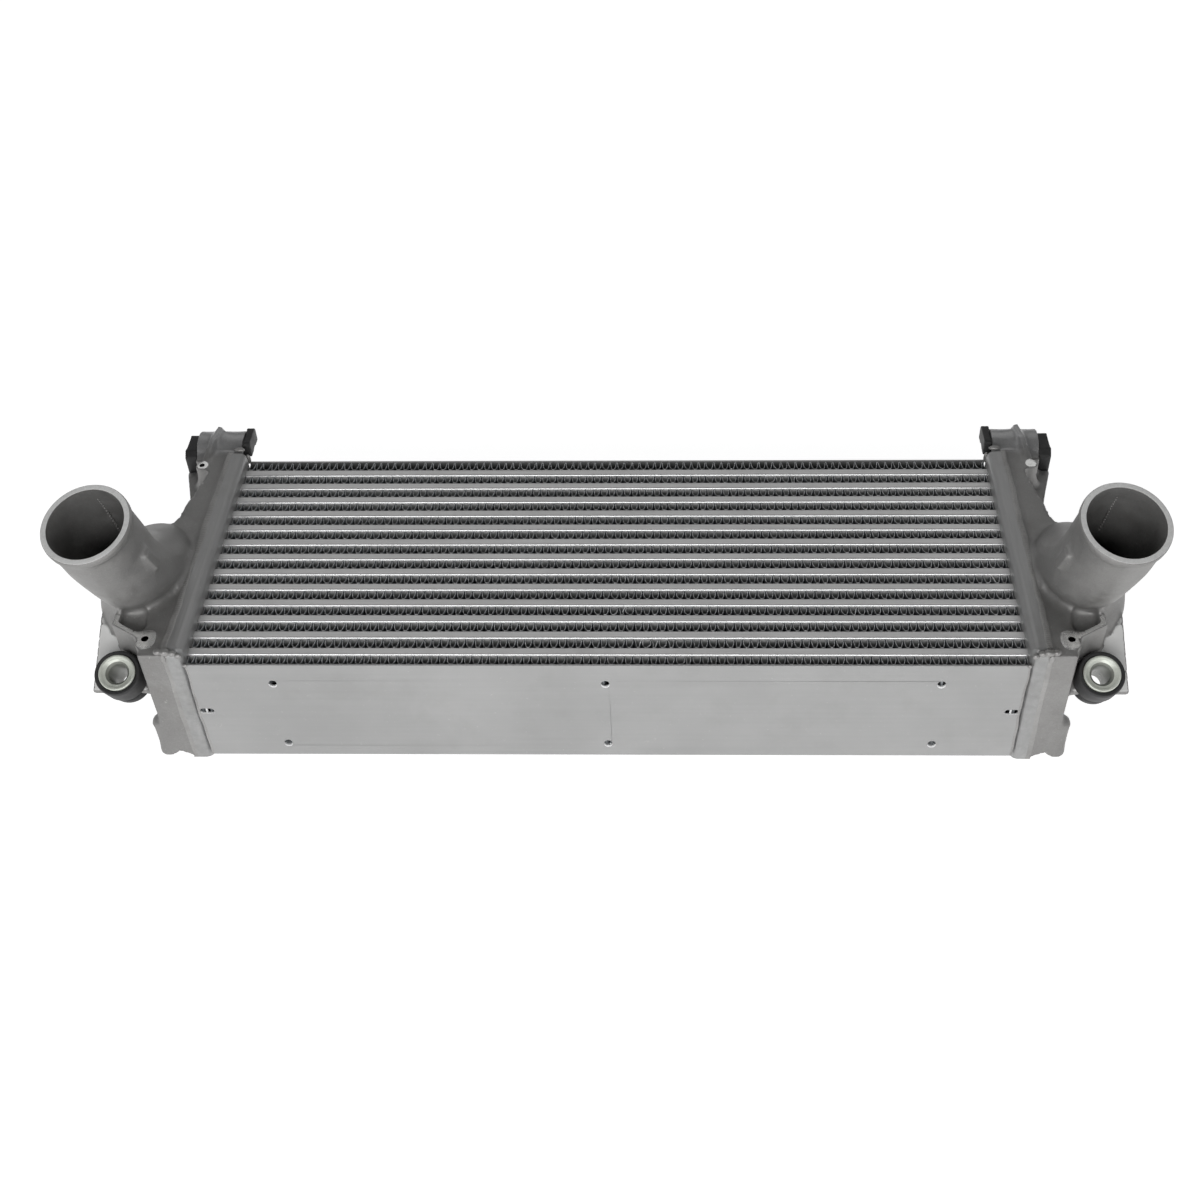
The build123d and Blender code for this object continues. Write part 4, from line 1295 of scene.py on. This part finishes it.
# Profiles about the bush's axis, in millimetres: radius, height over the flange, and rounding
BUSH = (
    (8.6, -2.2, 0), (12.2, -2.2, 0.4), (13.4, -1.0, 0.4), (15.2, -1.0, 0.7), (15.8, -3.0, 1.5),
    (15.8, -18.5, 1.8), (10.5, -18.5, 0.5), (10.5, -23.5, 0.5), (14.5, -23.5, 1.2), (14.5, -30.5, 1.8),
    (8.6, -30.5, 0.4),
)
SLEEVE = (
    (6.5, -3.6, 0.8), (8.0, -2.0, 0.6), (9.6, -1.3, 0.6), (10.8, -0.2, 0.7), (11.8, 0.0, 0.3),
    (12.4, -0.5, 0.3), (12.4, -2.0, 0.2), (8.5, -2.0, 0), (8.5, -32.0, 0.3), (6.5, -32.0, 0.4),
)
# Where the sleeve's bore is darkened as painted shade: nearer its axis than this, and not past this depth
BORE_SHADE_REACH, BORE_SHADE_DEPTH = 8.1 * MM, 30 * MM


def make_bushes():
    """The lower rubber bushes, moulded round their sleeves."""
    steps = bpy.context.scene.cooler_sizes.steps_round
    rubber = rubber_finish("bush rubber", bpy.context.scene.cooler_colours.rubber)
    for side in SIDES:
        at = mount_end(f"bush_sleeve_{side}")
        piece = turned(f"rubber_bush_{side}", at, rounded_profile(BUSH), rubber, steps)
        seat(piece, "rubber", f"lower_bush_{side}")


def make_sleeves():
    """The plated sleeves with their countersunk flanges, and their bores darkened as painted shade."""
    steps, zinc = bpy.context.scene.cooler_sizes.steps_round, bpy.context.scene.cooler_colours.zinc
    plated = zinc_finish("zinc plating", zinc)
    # The bore's darker plating is painted shade.
    bore = zinc_finish("sleeve bore with painted shade", [part * 0.34 for part in zinc])
    for side in SIDES:
        at = mount_end(f"bush_sleeve_{side}")
        piece = turned(f"plated_sleeve_{side}", at, rounded_profile(SLEEVE, steps=4), plated, steps)
        piece.data.materials.append(bore)
        axis = at.to_3x3() @ AXES[2]
        for face in piece.data.polygons:
            away = face.center - at.translation
            if (away - axis * away.dot(axis)).length < BORE_SHADE_REACH and away.dot(axis) > -BORE_SHADE_DEPTH:
                face.material_index = 1
        seat(piece, "plated_steel", f"bush_sleeve_{side}")


# What the softened isolator loses to the photograph's outline: middle and half sizes, in millimetres
ISOLATOR_TRIMS = (
    ((333.0, 235.0, 109.0), (14.0, 20.0, 4.5)),
    ((333.0, 249.5, 100.0), (14.0, 6.0, 20.0)),
    ((282.0, 225.0, 70.0), (6.0, 30.0, 28.0)),
    ((336.0, 213.0, 90.0), (5.0, 42.0, 30.0)),
)
ISOLATOR_GRID = 0.6 * MM
ISOLATOR_FILLET = 0.9 * MM


def make_isolators():
    """The moulded isolators under the saddle straps."""
    rubber = rubber_finish("isolator rubber", bpy.context.scene.cooler_colours.rubber)
    work, form = grid_round("upper_isolator_right", 4 * MM, ISOLATOR_GRID, 5)
    for centre, half in ISOLATOR_TRIMS:
        form = np.maximum(form, -block_distance(work, spot(*centre), AXES, half))
    surface = filled_corners(work.field(form), ISOLATOR_GRID, ISOLATOR_FILLET, 0.2)
    for side, way in SIDES.items():
        piece = surface_object(f"isolator_{side}", surface, rubber, way)
        soften_edges(piece, 3)
        seat(piece, "rubber", f"upper_isolator_{side}")


# Stage


# The camera as fitted to the photograph: place in millimetres, turns in degrees and shifts of the lens
CAMERA_PLACE = (52.4, -705.0, 829.9)
CAMERA_TURNS = (-2.139, 44.003, -1.484)
CAMERA_SHIFTS = (-0.03525, 0.009)
FLOOR_HALF = 6.0
LIGHT_AIM = Vector((0, 0, 0.05))


def area_light(name, at, size, power):
    """A soft oblong light aimed at the cooler."""
    data = bpy.data.lights.new(name, "AREA")
    data.shape = "RECTANGLE"
    data.size, data.size_y = size
    data.energy = power
    lamp = new_object(name, data)
    lamp.location = at
    lamp.rotation_euler = (LIGHT_AIM - Vector(at)).to_track_quat("-Z", "Y").to_euler()


def make_floor(colour, strength):
    """The floor, which glows only where it is seen, so that it looks white and lights nothing."""
    material, tree, shader = start_material("studio floor", 0.0)
    shader.inputs["Base Color"].default_value = (*colour, 1)
    shader.inputs["Roughness"].default_value = 0.9
    rays = tree.nodes.new("ShaderNodeLightPath")
    seen = arith(tree, "MAXIMUM", rays.outputs["Is Camera Ray"], rays.outputs["Is Glossy Ray"])
    seen = arith(tree, "MAXIMUM", seen, rays.outputs["Is Transmission Ray"])
    choose = tree.nodes.new("ShaderNodeMixShader")
    tree.links.new(seen, choose.inputs["Fac"])
    for place, power in ((1, 0.0), (2, strength)):
        glow = tree.nodes.new("ShaderNodeEmission")
        glow.inputs["Strength"].default_value = power
        tree.links.new(glow.outputs["Emission"], choose.inputs[place])
    both = tree.nodes.new("ShaderNodeAddShader")
    tree.links.new(shader.outputs["BSDF"], both.inputs[0])
    tree.links.new(choose.outputs["Shader"], both.inputs[1])
    output = next(node for node in tree.nodes if node.type == "OUTPUT_MATERIAL")
    tree.links.new(both.outputs["Shader"], output.inputs["Surface"])
    corners = [(x * FLOOR_HALF, y * FLOOR_HALF, 0) for x, y in ((-1, -1), (1, -1), (1, 1), (-1, 1))]
    floor = mesh_object("floor", corners, [(0, 1, 2, 3)], material, False)


def make_surroundings(sky):
    """Pale light from all round, less from the back and from above."""
    world = bpy.data.worlds.new("studio")
    world.use_nodes = True
    bpy.context.scene.world = world
    tree = world.node_tree
    tree.nodes.clear()
    around = tree.nodes.new("ShaderNodeBackground")
    output = tree.nodes.new("ShaderNodeOutputWorld")
    way = split_vector(tree, tree.nodes.new("ShaderNodeTexCoord").outputs["Generated"])
    horizon = remap(tree, way["Y"], -0.6, 0.3, 1.0, 0.45)
    tree.links.new(remap(tree, way["Z"], 0.06, 0.4, horizon, sky), around.inputs["Strength"])
    around.inputs["Color"].default_value = (0.98, 0.99, 1.0, 1)
    tree.links.new(around.outputs["Background"], output.inputs["Surface"])


def make_camera(lens):
    """The camera, turned as the photograph's was."""
    yaw, pitch, roll = (math.radians(turn) for turn in CAMERA_TURNS)
    forward = Vector((math.sin(yaw) * math.cos(pitch), math.cos(yaw) * math.cos(pitch), -math.sin(pitch)))
    level = Vector((math.cos(yaw), -math.sin(yaw), 0))
    upright = level.cross(forward)
    right = level * math.cos(roll) + upright * math.sin(roll)
    up = upright * math.cos(roll) - level * math.sin(roll)
    data = bpy.data.cameras.new("camera")
    data.sensor_width = 36
    data.lens = lens
    data.shift_x, data.shift_y = CAMERA_SHIFTS
    data.clip_end = 20
    camera = new_object("camera", data)
    turn = Matrix((right, up, -forward)).transposed().to_4x4()
    camera.matrix_world = Matrix.Translation(spot(*CAMERA_PLACE)) @ turn
    bpy.context.scene.camera = camera


def make_stage():
    """Floor, lights, surroundings and camera."""
    stage = bpy.context.scene.cooler_stage
    make_floor(bpy.context.scene.cooler_colours.floor, stage.floor_glow)
    make_surroundings(stage.sky)
    area_light("key", (-0.12, -1.65, 0.86), (1.9, 0.8), stage.key)
    area_light("overhead", (0.0, 1.25, 1.4), (3.0, 1.2), stage.fill)
    make_camera(stage.lens)
    bpy.context.scene.view_settings.view_transform = "Standard"


# Operators and panel


class COOLER_OT_tubes(bpy.types.Operator):
    """Finish the flat tubes and the strips in them"""
    bl_idname = "cooler.tubes"
    bl_label = "Flat tubes"

    def execute(self, context):
        finish_tubes()
        return {"FINISHED"}


class COOLER_OT_fins(bpy.types.Operator):
    """Make the folded fin rows"""
    bl_idname = "cooler.fins"
    bl_label = "Folded fins"

    def execute(self, context):
        make_fins()
        return {"FINISHED"}


class COOLER_OT_plates(bpy.types.Operator):
    """Finish the side plates"""
    bl_idname = "cooler.plates"
    bl_label = "Side plates"

    def execute(self, context):
        finish_plates()
        return {"FINISHED"}


class COOLER_OT_headers(bpy.types.Operator):
    """Finish the pressed headers"""
    bl_idname = "cooler.headers"
    bl_label = "Headers"

    def execute(self, context):
        finish_headers()
        return {"FINISHED"}


class COOLER_OT_tanks(bpy.types.Operator):
    """Make the cast tanks"""
    bl_idname = "cooler.tanks"
    bl_label = "Cast tanks"

    def execute(self, context):
        make_tanks()
        return {"FINISHED"}


class COOLER_OT_welds(bpy.types.Operator):
    """Lay the welds between headers and tanks"""
    bl_idname = "cooler.welds"
    bl_label = "Welds"

    def execute(self, context):
        make_welds()
        return {"FINISHED"}


class COOLER_OT_bushes(bpy.types.Operator):
    """Make the rubber bushes"""
    bl_idname = "cooler.bushes"
    bl_label = "Lower bushes"

    def execute(self, context):
        make_bushes()
        return {"FINISHED"}


class COOLER_OT_sleeves(bpy.types.Operator):
    """Make the plated sleeves"""
    bl_idname = "cooler.sleeves"
    bl_label = "Bush sleeves"

    def execute(self, context):
        make_sleeves()
        return {"FINISHED"}


class COOLER_OT_isolators(bpy.types.Operator):
    """Make the upper isolators"""
    bl_idname = "cooler.isolators"
    bl_label = "Upper isolators"

    def execute(self, context):
        make_isolators()
        return {"FINISHED"}


class COOLER_OT_stage(bpy.types.Operator):
    """Set up floor, lights and camera"""
    bl_idname = "cooler.stage"
    bl_label = "Studio"

    def execute(self, context):
        make_stage()
        return {"FINISHED"}


STEPS = (
    "tubes", "fins", "plates", "headers", "tanks", "welds", "bushes", "sleeves", "isolators", "stage",
)


class COOLER_PT_panel(bpy.types.Panel):
    """Lists the cooler's steps in the sidebar"""
    bl_idname = "COOLER_PT_panel"
    bl_label = "Charge air cooler"
    bl_space_type = "VIEW_3D"
    bl_region_type = "UI"
    bl_category = "Cooler"

    def draw(self, context):
        for step in STEPS:
            self.layout.operator(f"cooler.{step}")


CLASSES = (
    CoolerSizes, CoolerColours, CoolerStage, COOLER_OT_tubes, COOLER_OT_fins, COOLER_OT_plates,
    COOLER_OT_headers, COOLER_OT_tanks, COOLER_OT_welds, COOLER_OT_bushes, COOLER_OT_sleeves,
    COOLER_OT_isolators, COOLER_OT_stage, COOLER_PT_panel,
)


def register():
    for entry in CLASSES:
        bpy.utils.register_class(entry)
    bpy.types.Scene.cooler_sizes = PointerProperty(type=CoolerSizes)
    bpy.types.Scene.cooler_colours = PointerProperty(type=CoolerColours)
    bpy.types.Scene.cooler_stage = PointerProperty(type=CoolerStage)


def unregister():
    del bpy.types.Scene.cooler_stage
    del bpy.types.Scene.cooler_colours
    del bpy.types.Scene.cooler_sizes
    for entry in reversed(CLASSES):
        bpy.utils.unregister_class(entry)


def main():
    register()
    for step in STEPS:
        getattr(bpy.ops.cooler, step)()


if __name__ == "__main__":
    main()
